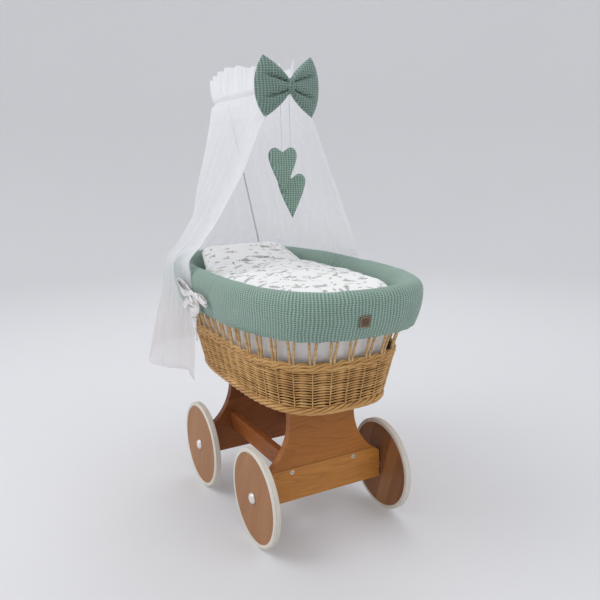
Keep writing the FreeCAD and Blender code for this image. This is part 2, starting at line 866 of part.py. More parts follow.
VEIL_LEVELS = (
    # height, centre x, half length, half width, left front x, right front x
    (1249.0, -186.0, 236.0, 60.0, 46.0, 48.0),
    (1160.0, -186.0, 236.0, 60.0, 44.0, 46.0),
    (1100.0, -130.0, 314.0, 82.0, -20.0, 36.0),
    (950.0, -60.0, 392.0, 126.0, -92.0, 63.0),
    (820.0, -20.0, 440.0, 170.0, -137.0, 62.0),
    (745.0, 0.0, 466.0, 228.0, -165.0, 10.0),
    (705.0, 0.0, 480.0, 272.0, -172.0, -40.0),
    (560.0, 0.0, 497.0, 305.0, -176.0, -45.0),
    (385.0, 0.0, 528.0, 348.0, -180.0, -45.0),
)


def edge_angle(share):
    """The angle at which the rim-shaped outline has x at this share of its half length."""
    cosine = math.copysign(min(abs(share), 0.999) ** (RIM_POWER / 2), share)
    return math.acos(cosine)


def veil_section(height, centre_x, half_x, half_y, left_x, right_x):
    """A closed C-shaped outline round the head end, open towards the foot."""
    thick = size_of("veil_thick")
    count = 25

    def track(inset):
        a = half_x - inset
        b = half_y - inset
        start = edge_angle((left_x - centre_x) / a)
        finish = edge_angle((right_x - centre_x) / a)
        points = []
        for step in range(count):
            angle = mix(-start, finish - 2 * math.pi, step / (count - 1))
            cosine = math.cos(angle)
            sine = math.sin(angle)
            x = math.copysign(abs(cosine) ** (2 / RIM_POWER), cosine)
            y = math.copysign(abs(sine) ** (2 / RIM_POWER), sine)
            points.append(Vector(centre_x + a * x, b * y, height))
        return points

    outside = track(0.0)
    inside = track(thick)
    outer = Part.BSplineCurve()
    outer.interpolate(outside)
    inner = Part.BSplineCurve()
    inner.interpolate(inside[::-1])
    edges = [
        outer.toShape(),
        Part.LineSegment(outside[-1], inside[-1]).toShape(),
        inner.toShape(),
        Part.LineSegment(inside[0], outside[0]).toShape(),
    ]
    return Part.Wire(edges)


def veil():
    """The sheer canopy as one thin tent: gathered on the crown loop, open towards the foot."""
    wires = [veil_section(*level) for level in VEIL_LEVELS]
    return feature("veil", Part.makeLoft(wires, True, True))


def bow():
    """A padded bow: two flared lobes, bent back a little, and a knot between them."""
    place = Vector(size_of("bow_place_x"), 0, size_of("crown_height"))
    half_tall = size_of("bow_tall") / 2
    thick = size_of("bow_thick")
    knot_y = size_of("knot_half_y")
    knot_tall = size_of("knot_tall")
    inner = knot_y + 4.6
    corner = size_of("bow_corner_y")
    waist = knot_tall * 0.42
    for label, side in (("bow_left_lobe", -1), ("bow_right_lobe", 1)):
        low_inner = Vector(-thick / 2, side * inner, -waist)
        low_corner = Vector(-thick / 2, side * corner, -half_tall)
        edge_middle = Vector(-thick / 2, side * size_of("bow_half_y"), 0)
        high_corner = Vector(-thick / 2, side * corner, half_tall)
        high_inner = Vector(-thick / 2, side * inner, waist)
        wire = Part.Wire([
            Part.LineSegment(low_inner, low_corner).toShape(),
            Part.Arc(low_corner, edge_middle, high_corner).toShape(),
            Part.LineSegment(high_corner, high_inner).toShape(),
            Part.LineSegment(high_inner, low_inner).toShape(),
        ])
        lobe = Part.Face(wire).extrude(Vector(thick, 0, 0))
        item = feature(label, lobe)
        bend = Rotation(Vector(0, 0, 1), side * size_of("bow_bend"))
        pivot = Vector(0, side * inner, 0)
        item.Placement = Placement(place + pivot - bend.multVec(pivot), bend)
    knot = Part.makeBox(
        thick * 1.05, knot_y * 2, knot_tall,
        Vector(-thick * 0.45, -knot_y, -knot_tall / 2),
    )
    knot = knot.makeFillet(5.0, knot.Edges)
    item = feature("bow_knot", knot)
    item.Placement = Placement(place, Rotation())


HEARTS = {
    # x of its plane, y and z of its lower tip, lean in degrees
    "upper_heart": (35.0, -15.0, 898.0, 0.0),
    "lower_heart": (8.0, 25.0, 828.0, 0.0),
}
PIVOT_HEIGHT = 1165.5


def heart(label, place_x, tip_y, tip_z, lean):
    """A padded heart and the thread that it hangs on."""
    width = size_of("heart_width")
    tall = size_of("heart_tall")
    thick = size_of("heart_thick")
    half = width / 2
    notch = tall * 0.90
    shoulder = tall * 0.81
    edges = []
    for side in (-1, 1):
        flank_curve = Part.BezierCurve()
        flank_curve.setPoles([
            Vector(0, 0, 0), Vector(0, side * half * 0.50, tall * 0.25),
            Vector(0, side * half * 0.97, tall * 0.55), Vector(0, side * half, shoulder),
        ])
        lobe = Part.BezierCurve()
        lobe.setPoles([
            Vector(0, side * half, shoulder), Vector(0, side * half * 1.02, tall * 1.03),
            Vector(0, side * half * 0.35, tall * 1.07), Vector(0, 0, notch),
        ])
        edges += [flank_curve.toShape(), lobe.toShape()]
    wire = Part.Wire(Part.__sortEdges__(edges))
    solid = Part.Face(wire).extrude(Vector(thick, 0, 0))
    item = feature(label, solid)
    tilt = Rotation(Vector(1, 0, 0), lean)
    spot = Vector(place_x - thick / 2, tip_y, tip_z)
    item.Placement = Placement(spot, tilt)
    foot = spot + tilt.multVec(Vector(thick / 2, 0, notch + 0.5))
    head = Vector(place_x, foot.y, PIVOT_HEIGHT)
    thread = Part.makeCylinder(size_of("thread_radius"), head.z - foot.z, foot, head - foot)
    feature(label + "_thread", thread)


# ---------------------------------------------------------------- assembly

panel("foot_panel", size_of("panel_place"))
panel("head_panel", -size_of("panel_place"))
rail("left_rail", -1)
rail("right_rail", 1)
rail_screws()
for wheel_name, (wheel_end, wheel_side) in WHEELS.items():
    wheel(wheel_name, wheel_end, wheel_side)
basket()
liner()
mattress()
duvet()
pillow()
bumper()
leather_patch()
tie_bow("left_tie_bow", -1)
tie_bow("right_tie_bow", 1)
canopy_rod()
crown_loop()
rod_socket()
veil()
bow()
for heart_label, heart_place in HEARTS.items():
    heart(heart_label, *heart_place)

doc.recompute()
for item in doc.Objects:
    if "Invalid" in item.State or "Error" in item.State:
        raise RuntimeError(f"{item.Name} failed: {item.State}")
for item in parts:
    shape = item.Shape
    if shape.isNull() or not shape.isValid() or shape.Volume <= 0:
        raise RuntimeError(f"{item.Label}: the shape is null or not valid")

os.makedirs("parts", exist_ok=True)
for item in parts:
    item.Shape.exportStep(f"parts/{item.Label}.step")
print(len(parts), "parts written")
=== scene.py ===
import math

import bmesh
import bpy
import numpy as np
from mathutils import Matrix, Vector, noise


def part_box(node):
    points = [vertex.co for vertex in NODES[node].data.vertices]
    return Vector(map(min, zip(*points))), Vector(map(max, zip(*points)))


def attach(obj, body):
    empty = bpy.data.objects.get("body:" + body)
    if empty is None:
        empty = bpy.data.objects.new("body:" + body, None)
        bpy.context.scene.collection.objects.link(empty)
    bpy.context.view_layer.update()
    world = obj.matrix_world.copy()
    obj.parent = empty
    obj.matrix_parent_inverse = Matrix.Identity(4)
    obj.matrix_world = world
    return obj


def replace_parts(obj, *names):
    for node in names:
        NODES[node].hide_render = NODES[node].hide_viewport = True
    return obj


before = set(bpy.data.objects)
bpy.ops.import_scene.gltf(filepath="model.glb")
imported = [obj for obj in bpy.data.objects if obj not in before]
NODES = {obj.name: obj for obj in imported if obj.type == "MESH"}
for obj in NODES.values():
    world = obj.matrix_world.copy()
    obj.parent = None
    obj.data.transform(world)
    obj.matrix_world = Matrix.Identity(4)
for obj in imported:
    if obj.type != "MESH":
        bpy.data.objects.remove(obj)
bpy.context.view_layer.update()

TAU = 2 * math.pi
UP = (0, 0, 1)

# ---- sizes, in metres

# The power of each oval: 2 is an ellipse, and more is squarer.
BASKET_POWER = 3.3
RIM_POWER = 2.84
# Half length, half width and height of each ring of the basket.
WALL_LOW = (0.336, 0.176, 0.3975)
WALL_HIGH = (0.362, 0.198, 0.500)
WALING = (0.364, 0.200, 0.508)
BORDER = (0.3315, 0.1715, 0.386)
STAKE_TOP = (0.443, 0.2305, 0.6724)
STAKES = 80
# How far the pairs of stakes are turned round the basket, in stakes.
PAIR_SHIFT = 0.5
# Length and height of one waffle cell on the bow and hearts, and on the bumper.
CELL = (0.0078, 0.0056)
BUMPER_CELLS = 288
BUMPER_CELL_TALL = 0.0050


# ---- camera

def add_object(name, data):
    made = bpy.data.objects.new(name, data)
    bpy.context.scene.collection.objects.link(made)
    return made


def make_camera():
    azimuth = math.radians(61.82)
    elevation = 0.20762
    roll = -0.021045
    forward = Vector((
        -math.sin(azimuth) * math.cos(elevation),
        math.cos(azimuth) * math.cos(elevation),
        -math.sin(elevation),
    ))
    right = forward.cross(Vector(UP)).normalized()
    up = right.cross(forward)
    c = math.cos(roll)
    s = math.sin(roll)
    data = bpy.data.cameras.new("camera")
    data.sensor_width = 36
    data.lens = 40.098
    data.clip_start = 0.01
    data.clip_end = 100
    camera = add_object("camera", data)
    turn = Matrix((c * right + s * up, -s * right + c * up, -forward)).transposed().to_4x4()
    camera.matrix_world = Matrix.Translation((1.6593, -0.8394, 0.9862)) @ turn
    bpy.context.scene.camera = camera


make_camera()


# ---- node materials

def node_sum(operation):
    return lambda value, other=0.0: value.finish.math(operation, value, other)


class Value:
    """One output of a material's node. Sums on it add the nodes that work them out."""

    def __init__(self, finish, socket):
        self.finish = finish
        self.socket = socket

    def other(self, output):
        return Value(self.finish, self.socket.node.outputs[output])

    def clamped(self):
        self.socket.node.use_clamp = True
        return self

    def __rsub__(self, other):
        return self.finish.math("SUBTRACT", other, self)

    __add__ = __radd__ = node_sum("ADD")
    __mul__ = __rmul__ = node_sum("MULTIPLY")
    __sub__ = node_sum("SUBTRACT")
    __pow__ = node_sum("POWER")
    __gt__ = node_sum("GREATER_THAN")
    __abs__ = node_sum("ABSOLUTE")


class Finish:
    """A node material while it is being put together."""

    def __init__(self, name, roughness=0.7, specular=0.5, sheen=0.0):
        self.material = bpy.data.materials.new(name)
        self.material.use_nodes = True
        self.tree = self.material.node_tree
        self.shader = self.tree.nodes["Principled BSDF"]
        self.set({"Roughness": roughness, "Specular IOR Level": specular, "Sheen Weight": sheen})
        self.place = self.add("TexCoord", output="Object")

    def add(self, kind, inputs=None, output=0, **settings):
        """One output of a new node, with its settings and inputs made first."""
        made = self.tree.nodes.new("ShaderNode" + kind)
        for key, value in settings.items():
            setattr(made, key, value)
        for key, value in (inputs or {}).items():
            self.plug(made.inputs[key], value)
        return Value(self, made.outputs[output])

    def set(self, inputs):
        for key, value in inputs.items():
            self.plug(self.shader.inputs[key], value)

    def plug(self, socket, value):
        if isinstance(value, Value):
            self.tree.links.new(value.socket, socket)
        elif socket.type == "RGBA":
            socket.default_value = (*value, 1)
        else:
            socket.default_value = value

    def math(self, operation, first, second=0.0):
        return self.add("Math", {0: first, 1: second}, operation=operation)

    def cloth_uv(self):
        return self.add("UVMap", uv_map="cloth")

    def noise(self, scale, detail=2.0, roughness=0.5, vector=None, distortion=0.0, kind="Fac"):
        return self.add("TexNoise", {
            "Vector": vector or self.place, "Scale": scale, "Detail": detail,
            "Roughness": roughness, "Distortion": distortion,
        }, kind)

    def streaks(self, parts, scales, detail=2.0, roughness=0.5):
        """Noise drawn out along the parts of the place that have small scales."""
        spot = {k: part * scale for k, (part, scale) in enumerate(zip(parts, scales))}
        return self.noise(1.0, detail, roughness, self.add("CombineXYZ", spot))

    def ramp(self, value, stops):
        made = self.add("ValToRGB", {0: value})
        marks = made.socket.node.color_ramp.elements
        while len(marks) < len(stops):
            marks.new(0.5)
        for mark, (at, colour) in zip(marks, stops):
            mark.position = at
            mark.color = (*colour, 1) if isinstance(colour, tuple) else (colour, colour, colour, 1)
        return made

    def mix(self, share, first, second, how="MIX"):
        factor, colour_a, colour_b, colour_out = 0, 6, 7, 2
        return self.add(
            "Mix", {factor: share, colour_a: first, colour_b: second}, colour_out,
            data_type="RGBA", blend_type=how)

    def split(self, vector=None):
        made = self.add("SeparateXYZ", {0: vector or self.place})
        return [made.other(k) for k in range(3)]

    def bump(self, height, distance, strength=1.0, below=None):
        inputs = {"Height": height, "Distance": distance, "Strength": strength}
        if below:
            inputs["Normal"] = below
        return self.add("Bump", inputs)

    def done(self, colour, roughness=None, normal=None):
        inputs = {"Base Color": colour, "Roughness": roughness, "Normal": normal}
        self.set({key: value for key, value in inputs.items() if value is not None})
        return self.material


def rgb(*screen):
    """A screen colour, 0 to 255, as scene-linear numbers."""
    return tuple(((c / 255 + 0.055) / 1.055) ** 2.4 if c > 10 else c / 255 / 12.92 for c in screen)


def darker(colour, share):
    return tuple(c * share for c in colour)


def between(first, second):
    return tuple((a + b) / 2 for a, b in zip(first, second))


def stained_wood(name, grain, across, light, dark, glue_line=None):
    """Oiled softwood boards. grain and across are the axes along and across the fibres, 0 to 2."""
    f = Finish(name, 0.42, 0.35)
    axes = f.split()
    along, over, depth = axes[grain], axes[across], axes[3 - grain - across]
    if glue_line is not None:
        # Two boards are glued edge to edge: each has a grain of its own.
        upper = over > glue_line
        along = along + upper * 0.37
        depth = depth + upper * 0.21
    parts = (along, over, depth)
    rings = over * 60.0 + f.streaks(parts, (2.6, 11.0, 5.0)) * 12.0
    line = f.ramp(f.math("FRACT", rings), [(0.0, 0.15), (0.55, 0.35), (0.88, 1.0), (1.0, 0.1)])
    fibre = f.streaks(parts, (22.0, 420.0, 60.0), 3.0, 0.6)
    broad = f.streaks(parts, (3.0, 16.0, 9.0))
    share = (line * 0.20 + broad * 0.50 + (fibre - 0.5) * 0.55).clamped()
    colour = f.ramp(share, [(0.12, light), (0.5, between(light, dark)), (0.85, dark)])
    if glue_line is not None:
        seam = f.ramp(abs(over - glue_line), [(0.0, 0.45), (0.0010, 0.0)])
        colour = f.mix(seam, colour, darker(dark, 0.3))
        colour = f.mix(upper * 0.35, colour, darker(light, 0.8), "MULTIPLY")
    return f.done(colour, 0.36 + fibre * 0.16, f.bump(line * 0.5 + fibre, 0.0004, 0.5))


# Each layer of the print scatters one kind of mark: cell size, half length, half width, ink, strength,
# share of the cells left empty, leaflets along it (0 for a plain blot) and a number that shifts the layer.
PRINT_LAYERS = (
    (0.046, 0.014, 0.0085, rgb(186, 166, 142), 0.45, 0.55, 0, 4.0),
    (0.034, 0.0085, 0.0036, rgb(116, 124, 108), 0.80, 0.45, 0, 9.0),
    (0.040, 0.0165, 0.0060, rgb(98, 96, 84), 0.85, 0.35, 4, 17.0),
    (0.024, 0.0060, 0.0021, rgb(92, 84, 78), 0.85, 0.55, 0, 23.0),
    (0.030, 0.0100, 0.0042, rgb(132, 122, 106), 0.80, 0.50, 3, 31.0),
)


def print_cloth(name, size, base, wrinkle=0.6):
    """White cotton printed with a loose scatter of generic leaves, sprigs and soft blots."""
    f = Finish(name, 0.85, 0.2, 0.2)
    uv = f.cloth_uv()
    ragged = f.noise(330.0, 3.0, 0.6, uv) - 0.5
    wash = 0.40 + f.noise(120.0, 2.0, 0.6, uv) * 0.9
    colour = base
    for cell, long, wide, ink, strength, empty, leaflets, seed in PRINT_LAYERS:
        moved = f.add("Mapping", {
            "Vector": uv, "Rotation": (0, 0, seed * 0.7), "Location": (seed * 0.31, seed * 0.17, 0)})
        cells = f.add(
            "TexVoronoi", {"Vector": moved, "Scale": 1.0 / (cell * size), "Randomness": 0.85},
            "Color", feature="F1", voronoi_dimensions="2D")
        pick = f.add("SeparateColor", {0: cells})
        apart = f.add("VectorMath", {0: moved, 1: cells.other("Position")}, operation="SUBTRACT")
        spun = f.add(
            "VectorRotate", {"Vector": apart, "Angle": pick.other(1) * TAU}, rotation_type="Z_AXIS")
        x, y, _ = f.split(spun)
        far = abs(x) * (1.0 / (long * size))
        off = abs(y) * (1.0 / (wide * size))
        room = (1.0 - far ** 1.7).clamped()
        if leaflets:
            beat = x * (leaflets * math.pi / (long * size)) + off * -2.2
            room = room * (0.14 + abs(f.math("SINE", beat)) ** 1.6)
        mark = f.ramp(room + ragged * 0.5 - off, [(0.0, 0.0), (0.16 if leaflets else 0.35, 1.0)])
        mark = mark * (pick > empty)
        colour = f.mix((mark * wash * strength).clamped(), colour, ink)
    crumple = f.noise(30.0, 4.0, 0.55, distortion=0.8)
    return f.done(colour, None, f.bump(crumple, 0.005, wrinkle, f.bump(f.noise(900.0), 0.0003, 0.25)))


def waffle_cloth(name, ridge, pit_shade, lit):
    """Waffle weave: a grid of raised ridges round sunken cells. UVs count cells. The sunken cells are coloured
    darker as painted shade, and the ridge tops lighter as a painted highlight.
    """
    f = Finish(name, 0.88, 0.2, 0.35)
    uv = f.cloth_uv()
    drift = f.noise(0.09, 2.0, 0.5, uv, kind="Color")
    moved = f.add("VectorMath", {0: drift, 1: (1.6, 1.6, 0), 2: uv}, operation="MULTIPLY_ADD")
    u, v, _ = f.split(moved)
    across = abs(f.math("SINE", u * math.pi))
    down = abs(f.math("SINE", v * math.pi))
    height = 1.0 - across ** 0.9 * down ** 0.9
    thread = f.noise(1500.0, 2.0, 0.6)
    # Painted shade in the sunken cells and a painted highlight on the ridge tops, both following the weave's
    # height.
    colour = f.ramp(height + (thread - 0.5) * 0.5, [(0.02, pit_shade), (0.5, ridge), (1.0, lit)])
    colour = f.mix(f.noise(26.0, 3.0, 0.6) * 0.35, colour, (0.72, 0.76, 0.74), "MULTIPLY")
    return f.done(colour, None, f.bump(thread, 0.0003, 0.4, f.bump(height, 0.0022, 0.9)))


def willow(name, light, middle, dark):
    """Peeled, varnished willow rods: every rod a shade of its own, with streaks along it."""
    f = Finish(name, 0.4, 0.45)
    place = f.split()
    rod = f.streaks(place, (9.0, 9.0, 130.0), 1.0)
    streak = f.streaks(place, (60.0, 60.0, 900.0), 3.0, 0.6)
    colour = f.ramp(rod * 0.8 + streak * 0.35, [(0.28, light), (0.55, middle), (0.85, dark)])
    return f.done(colour, 0.32 + streak * 0.25, f.bump(streak, 0.0004, 0.4))


def white_cloth(name, colour, crumple_size=30.0, depth=0.004):
    f = Finish(name, 0.85, 0.2, 0.2)
    crumple = f.noise(crumple_size, 4.0, 0.55, distortion=0.6)
    shade = f.mix(crumple * 0.25, colour, darker(colour, 0.8))
    return f.done(shade, None, f.bump(crumple, depth, 0.5, f.bump(f.noise(1100.0, 2.0, 0.6), 0.0003, 0.3)))


def voile(name, colour):
    """Sheer white voile: half open mesh, and denser where the mesh's "cover" says it lies in folds."""
    f = Finish(name)
    f.tree.nodes.remove(f.shader)
    streak = f.noise(1.0, 2.0, 0.5, f.cloth_uv())
    gathered = f.add("Attribute", output="Fac", attribute_name="cover")
    cover = (gathered + (streak - 0.5) * 0.12).clamped()
    cloth = f.add("BsdfDiffuse", {"Color": colour})
    through = f.add("BsdfTranslucent", {"Color": colour})
    body = f.add("MixShader", {0: 0.45, 1: cloth, 2: through})
    clear = f.add("BsdfTransparent")
    mixed = f.add("MixShader", {0: cover, 1: clear, 2: body})
    f.plug(f.tree.nodes["Material Output"].inputs["Surface"], mixed)
    return f.material


def metal(name, colour, roughness, wear=0.1):
    f = Finish(name, roughness)
    f.set({"Metallic": 1.0})
    grime = f.noise(180.0, 3.0, 0.6)
    tint = f.mix(grime * (wear * 2), colour, darker(colour, 0.7))
    return f.done(tint, roughness + (grime - 0.5) * (wear * 2), f.bump(grime, 0.0002, 0.2))


def rubber(name, colour):
    f = Finish(name, 0.55, 0.35)
    dust = f.noise(70.0, 4.0, 0.65)
    tint = f.mix(f.ramp(dust, [(0.45, 0.0), (0.75, 0.35)]), colour, darker(colour, 0.72))
    return f.done(tint, 0.48 + dust * 0.2, f.bump(f.noise(900.0), 0.0002, 0.3))


def leather(name, colour):
    f = Finish(name, 0.6, 0.35)
    pores = f.add("TexVoronoi", {"Vector": f.place, "Scale": 1400.0}, "Distance")
    tint = f.mix(f.noise(120.0, 3.0, 0.6) * 0.6, colour, darker(colour, 0.6))
    return f.done(tint, None, f.bump(pores, 0.0004, 0.5))


def wheel_wood(name, light, dark):
    """Stained veneer on the disc's outer face, edge-glued staves on its inner face, fibres slanting."""
    disc_middle = 0.1985
    f = Finish(name, 0.45, 0.35)
    outer = abs(f.split()[1]) > disc_middle
    turned = f.split(f.add("Mapping", {"Vector": f.place, "Rotation": (0, -0.33, 0)}))
    fibre = f.streaks(turned, (260.0, 30.0, 16.0), 3.0, 0.6)
    broad = f.streaks(turned, (26.0, 6.0, 3.0))
    stave = f.add(
        "TexWhiteNoise", {"W": f.math("FLOOR", turned[0] * 24.0)}, "Value", noise_dimensions="1D")
    plain = broad * 0.5 + fibre * 0.4
    boards = plain * 0.7 + stave * 0.45
    share = outer * plain + (1.0 - outer) * (boards + 0.18)
    colour = f.ramp(share, [(0.2, light), (0.55, between(light, dark)), (0.95, dark)])
    return f.done(colour, 0.4 + fibre * 0.15, f.bump(fibre, 0.0003, 0.4))


# ---- mesh helpers

class Shape:
    """Grids of points gathered into one mesh, with a cloth UV for each corner."""

    def __init__(self):
        self.points = []
        self.faces = []
        self.uvs = []
        self.count = 0

    def grid(self, rows, round_u=False, round_v=False, uv=None):
        rows = np.asarray(rows, float)
        down, along = rows.shape[:2]
        i, j = np.meshgrid(np.arange(along - (not round_u)), np.arange(down - (not round_v)))
        i2 = (i + 1) % along
        j2 = (j + 1) % down
        corners = np.stack([j * along + i, j * along + i2, j2 * along + i2, j2 * along + i], -1)
        self.faces += (corners.reshape(-1, 4) + self.count).tolist()
        self.points.append(rows.reshape(-1, 3))
        self.count += down * along
        if uv is None:
            uv = np.zeros((down + round_v, along + round_u, 2))
        marks = np.stack([uv[j, i], uv[j, i + 1], uv[j + 1, i + 1], uv[j + 1, i]], -2)
        self.uvs.append(marks.reshape(-1, 2))

    def fan(self, ring, tip, uv=(0.0, 0.0)):
        """Closes a ring of points with triangles to one tip."""
        ring = np.asarray(ring, float)
        n = len(ring)
        self.points.append(np.vstack([ring, np.asarray(tip, float)[None]]))
        self.faces += [[self.count + k, self.count + (k + 1) % n, self.count + n] for k in range(n)]
        self.uvs.append(np.tile(np.asarray(uv, float), (3 * n, 1)))
        self.count += n + 1

    def layers(self, rows, low_tip=None, high_tip=None, uv=None):
        """Closed rings, one on the next, each end closed to a tip or to the middle of its ring."""
        self.grid(rows, round_u=True, uv=uv)
        for ring, tip in ((rows[0], low_tip), (rows[-1], high_tip)):
            self.fan(ring, np.mean(ring, 0) if tip is None else tip)

    def made(self, name, material, weld=0.0, close=False):
        """An object: points nearer than weld become one, and close turns its faces outward."""
        data = bpy.data.meshes.new(name)
        data.from_pydata(np.vstack(self.points).tolist(), [], self.faces)
        layer = data.uv_layers.new(name="cloth")
        layer.data.foreach_set("uv", np.vstack(self.uvs).astype(np.float32).ravel())
        if weld or close:
            work = bmesh.new()
            work.from_mesh(data)
            if weld:
                bmesh.ops.remove_doubles(work, verts=work.verts, dist=weld)
            if close:
                bmesh.ops.recalc_face_normals(work, faces=work.faces)
            work.to_mesh(data)
            work.free()
        data.shade_smooth()
        data.materials.append(material)
        return add_object(name, data)

    def piece(self, name, material, body, weld=0.0, close=False):
        made = self.made(name, material, weld, close)
        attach(made, body)
        return made


def unit(vectors):
    return vectors / np.maximum(np.linalg.norm(vectors, axis=-1, keepdims=True), 1e-9)


def lengths(points):
    """How far along a line of points each of them lies."""
    return np.concatenate([[0], np.cumsum(np.linalg.norm(np.diff(points, axis=0), axis=-1))])


def full_turn(count):
    return np.linspace(0, TAU, count, endpoint=False)


def path_frames(path, up=UP, closed=True):
    """Unit side and over vectors at each point of a path."""
    if closed:
        tangent = np.roll(path, -1, 0) - np.roll(path, 1, 0)
    else:
        tangent = np.gradient(path, axis=0)
    tangent = unit(tangent)
    side = unit(np.cross(tangent, np.broadcast_to(up, path.shape)))
    return side, np.cross(side, tangent)


def tube(shape, path, radius, sides, closed=False, up=UP):
    """A round rod along a path."""
    path = np.asarray(path, float)
    side, over = path_frames(path, up, closed)
    radius = np.broadcast_to(np.asarray(radius, float), (len(path),))[:, None, None]
    turn = np.arange(sides) * TAU / sides
    rows = path[:, None] + radius * (
        side[:, None] * np.cos(turn)[None, :, None] + over[:, None] * np.sin(turn)[None, :, None]
    )
    if closed:
        shape.grid(rows, round_u=True, round_v=True)
    else:
        shape.layers(rows, path[0], path[-1])


def smooth_path(points, count):
    """A Catmull-Rom curve through points, at even steps of its parameter."""
    points = np.asarray(points, float)
    padded = np.vstack([2 * points[0] - points[1], points, 2 * points[-1] - points[-2]])
    spots = np.linspace(0, len(points) - 1 - 1e-9, count)
    k = spots.astype(int)
    t = (spots - k)[:, None]
    a, b, c, d = padded[k], padded[k + 1], padded[k + 2], padded[k + 3]
    return 0.5 * (2 * b + (c - a) * t + (2 * a - 5 * b + 4 * c - d) * t * t + (3 * b - a - 3 * c + d) * t ** 3)


def oval_angle_at(a, b, power, share):
    """The angles at given shares of the way round an oval, from its foot end."""
    fine = np.linspace(0, TAU, 4001)
    walked = lengths(np.stack(oval_xy(a, b, power, fine), -1))
    laps = np.floor(share)
    return np.interp((share - laps) * walked[-1], walked, fine) + laps * TAU


def oval_angles(a, b, power, count):
    """Angles that divide an oval into equal lengths, from half a step past its foot end."""
    return oval_angle_at(a, b, power, (np.arange(count) + 0.5) / count)


def oval_xy(a, b, power, angle):
    c = np.cos(angle)
    s = np.sin(angle)
    reach = (np.abs(c) ** power + np.abs(s) ** power) ** (-1 / power)
    return a * reach * c, b * reach * s


def oval_points(a, b, power, angle, z):
    x, y = oval_xy(a, b, power, angle)
    return np.stack([x, y, np.broadcast_to(z, x.shape)], -1)


def wander(points, scale, seed):
    """Smooth noise from -1 to 1 at each point. seed is a number, or a shift of the place."""
    shift = Vector(seed if isinstance(seed, tuple) else (seed * 7.31, seed * 3.77, seed * 1.93))
    values = [noise.noise(Vector(p) * scale + shift) for p in points.reshape(-1, 3).tolist()]
    return np.array(values).reshape(points.shape[:-1])


def signed_power(value, power):
    return np.sign(value) * np.abs(value) ** power


def step(low, high, value):
    """A smooth rise from 0 at low to 1 at high."""
    t = np.clip((value - low) / (high - low), 0, 1)
    return t * t * (3 - 2 * t)


def finish_nodes(material, *names):
    for name in names:
        slots = NODES[name].data.materials
        slots.clear()
        slots.append(material)


# ---- materials

OAK = stained_wood("stained_wood_front", 1, 2, rgb(208, 142, 66), rgb(140, 82, 32), 0.190)
DARK_OAK = stained_wood("stained_wood_head", 1, 2, rgb(166, 100, 50), rgb(104, 56, 26), 0.262)
RAIL = stained_wood("stained_wood_rail", 0, 2, rgb(176, 106, 54), rgb(112, 58, 28))
WHEEL = wheel_wood("wheel_plywood", rgb(182, 128, 82), rgb(128, 82, 46))
TYRE = rubber("cream_rubber", rgb(228, 222, 210))
STEEL = metal("steel", rgb(200, 198, 192), 0.28)
BRIGHT_STEEL = metal("bright_steel", rgb(246, 244, 238), 0.30, 0.04)
ROD = rubber("rod_steel", rgb(196, 196, 200))
NYLON = rubber("nylon", rgb(210, 208, 200))
WILLOW = willow("willow", rgb(234, 192, 128), rgb(210, 162, 98), rgb(162, 114, 62))
PALE_WILLOW = willow("pale_willow", rgb(236, 204, 152), rgb(214, 176, 122), rgb(172, 130, 82))
# Very dark willow for the layer behind the woven rods: painted shade seen through the gaps.
PAINTED_SHADE_WILLOW = willow("painted_shade_willow", rgb(74, 48, 30), rgb(58, 36, 22), rgb(40, 24, 14))
# For both waffles the second colour is painted shade in the cells and the third a painted highlight on the
# ridges.
WAFFLE = waffle_cloth("waffle_cotton", rgb(150, 179, 164), rgb(82, 112, 99), rgb(173, 202, 186))
WAFFLE_BOW = waffle_cloth("waffle_cotton_bow", rgb(130, 155, 144), rgb(76, 101, 92), rgb(150, 175, 163))
LINEN = white_cloth("white_cotton", rgb(252, 251, 251))
MATTRESS = white_cloth("mattress_cover", rgb(235, 234, 230), 60.0, 0.002)
PRINT = print_cloth("printed_cotton", 1.4, rgb(238, 238, 236))
PRINT_PILLOW = print_cloth("printed_cotton_pillow", 1.4, rgb(234, 234, 232))
PRINT_TIE = print_cloth("printed_cotton_tie", 0.75, rgb(236, 234, 234), 0.9)
VOILE = voile("sheer_voile", (0.93, 0.93, 0.95))
PATCH = leather("patch_leather", rgb(124, 102, 78))
DARK_PATCH = leather("patch_mark", rgb(84, 66, 48))
THREAD = white_cloth("white_thread", rgb(225, 222, 216), 200.0, 0.0005)
# The heart seams: a real seam, with its dark green painted shade along the heart's edge.
SEAM_SHADE = white_cloth("seam", rgb(96, 118, 110), 300.0, 0.0005)


# ---- stand and wheels

def stand():
    finish_nodes(OAK, "foot_panel")
    finish_nodes(DARK_OAK, "head_panel", "base_board")
    finish_nodes(RAIL, "left_rail", "right_rail")
    finish_nodes(STEEL, "rail_screws", "basket_bolts", "basket_brackets", "bracket_screws", "socket_clamp")
    finish_nodes(ROD, "canopy_rod", "crown_loop", "rod_socket")
    for corner in ("foot_left", "foot_right", "head_left", "head_right"):
        finish_nodes(WHEEL, corner + "_wheel_disc")
        finish_nodes(TYRE, corner + "_tyre")
        finish_nodes(NYLON, corner + "_wheel_bush")
        finish_nodes(STEEL, corner + "_axle_bolt", corner + "_spacer")
        finish_nodes(BRIGHT_STEEL, corner + "_hub_cap")


# ---- wicker basket

def wall_half_sizes(z):
    share = (z - WALL_LOW[2]) / (WALL_HIGH[2] - WALL_LOW[2])
    return [low + (high - low) * share for low, high in zip(WALL_LOW[:2], WALL_HIGH[:2])]


POST_ANGLES = oval_angle_at(*WALING[:2], BASKET_POWER, (np.arange(STAKES + 2) + PAIR_SHIFT) / STAKES)


def post_angle(place):
    """The angle of a place round the basket that is counted in posts."""
    return np.interp(place, np.arange(-1, STAKES + 1), POST_ANGLES)


def post_line(place):
    """A line up the wall at one place round it: the bottom of the woven part, then the waling."""
    angle = post_angle(place % STAKES)
    return (oval_points(*WALL_LOW[:2], BASKET_POWER, angle, WALL_LOW[2] - 0.012),
            oval_points(*WALING[:2], BASKET_POWER, angle, WALING[2] + 0.004))


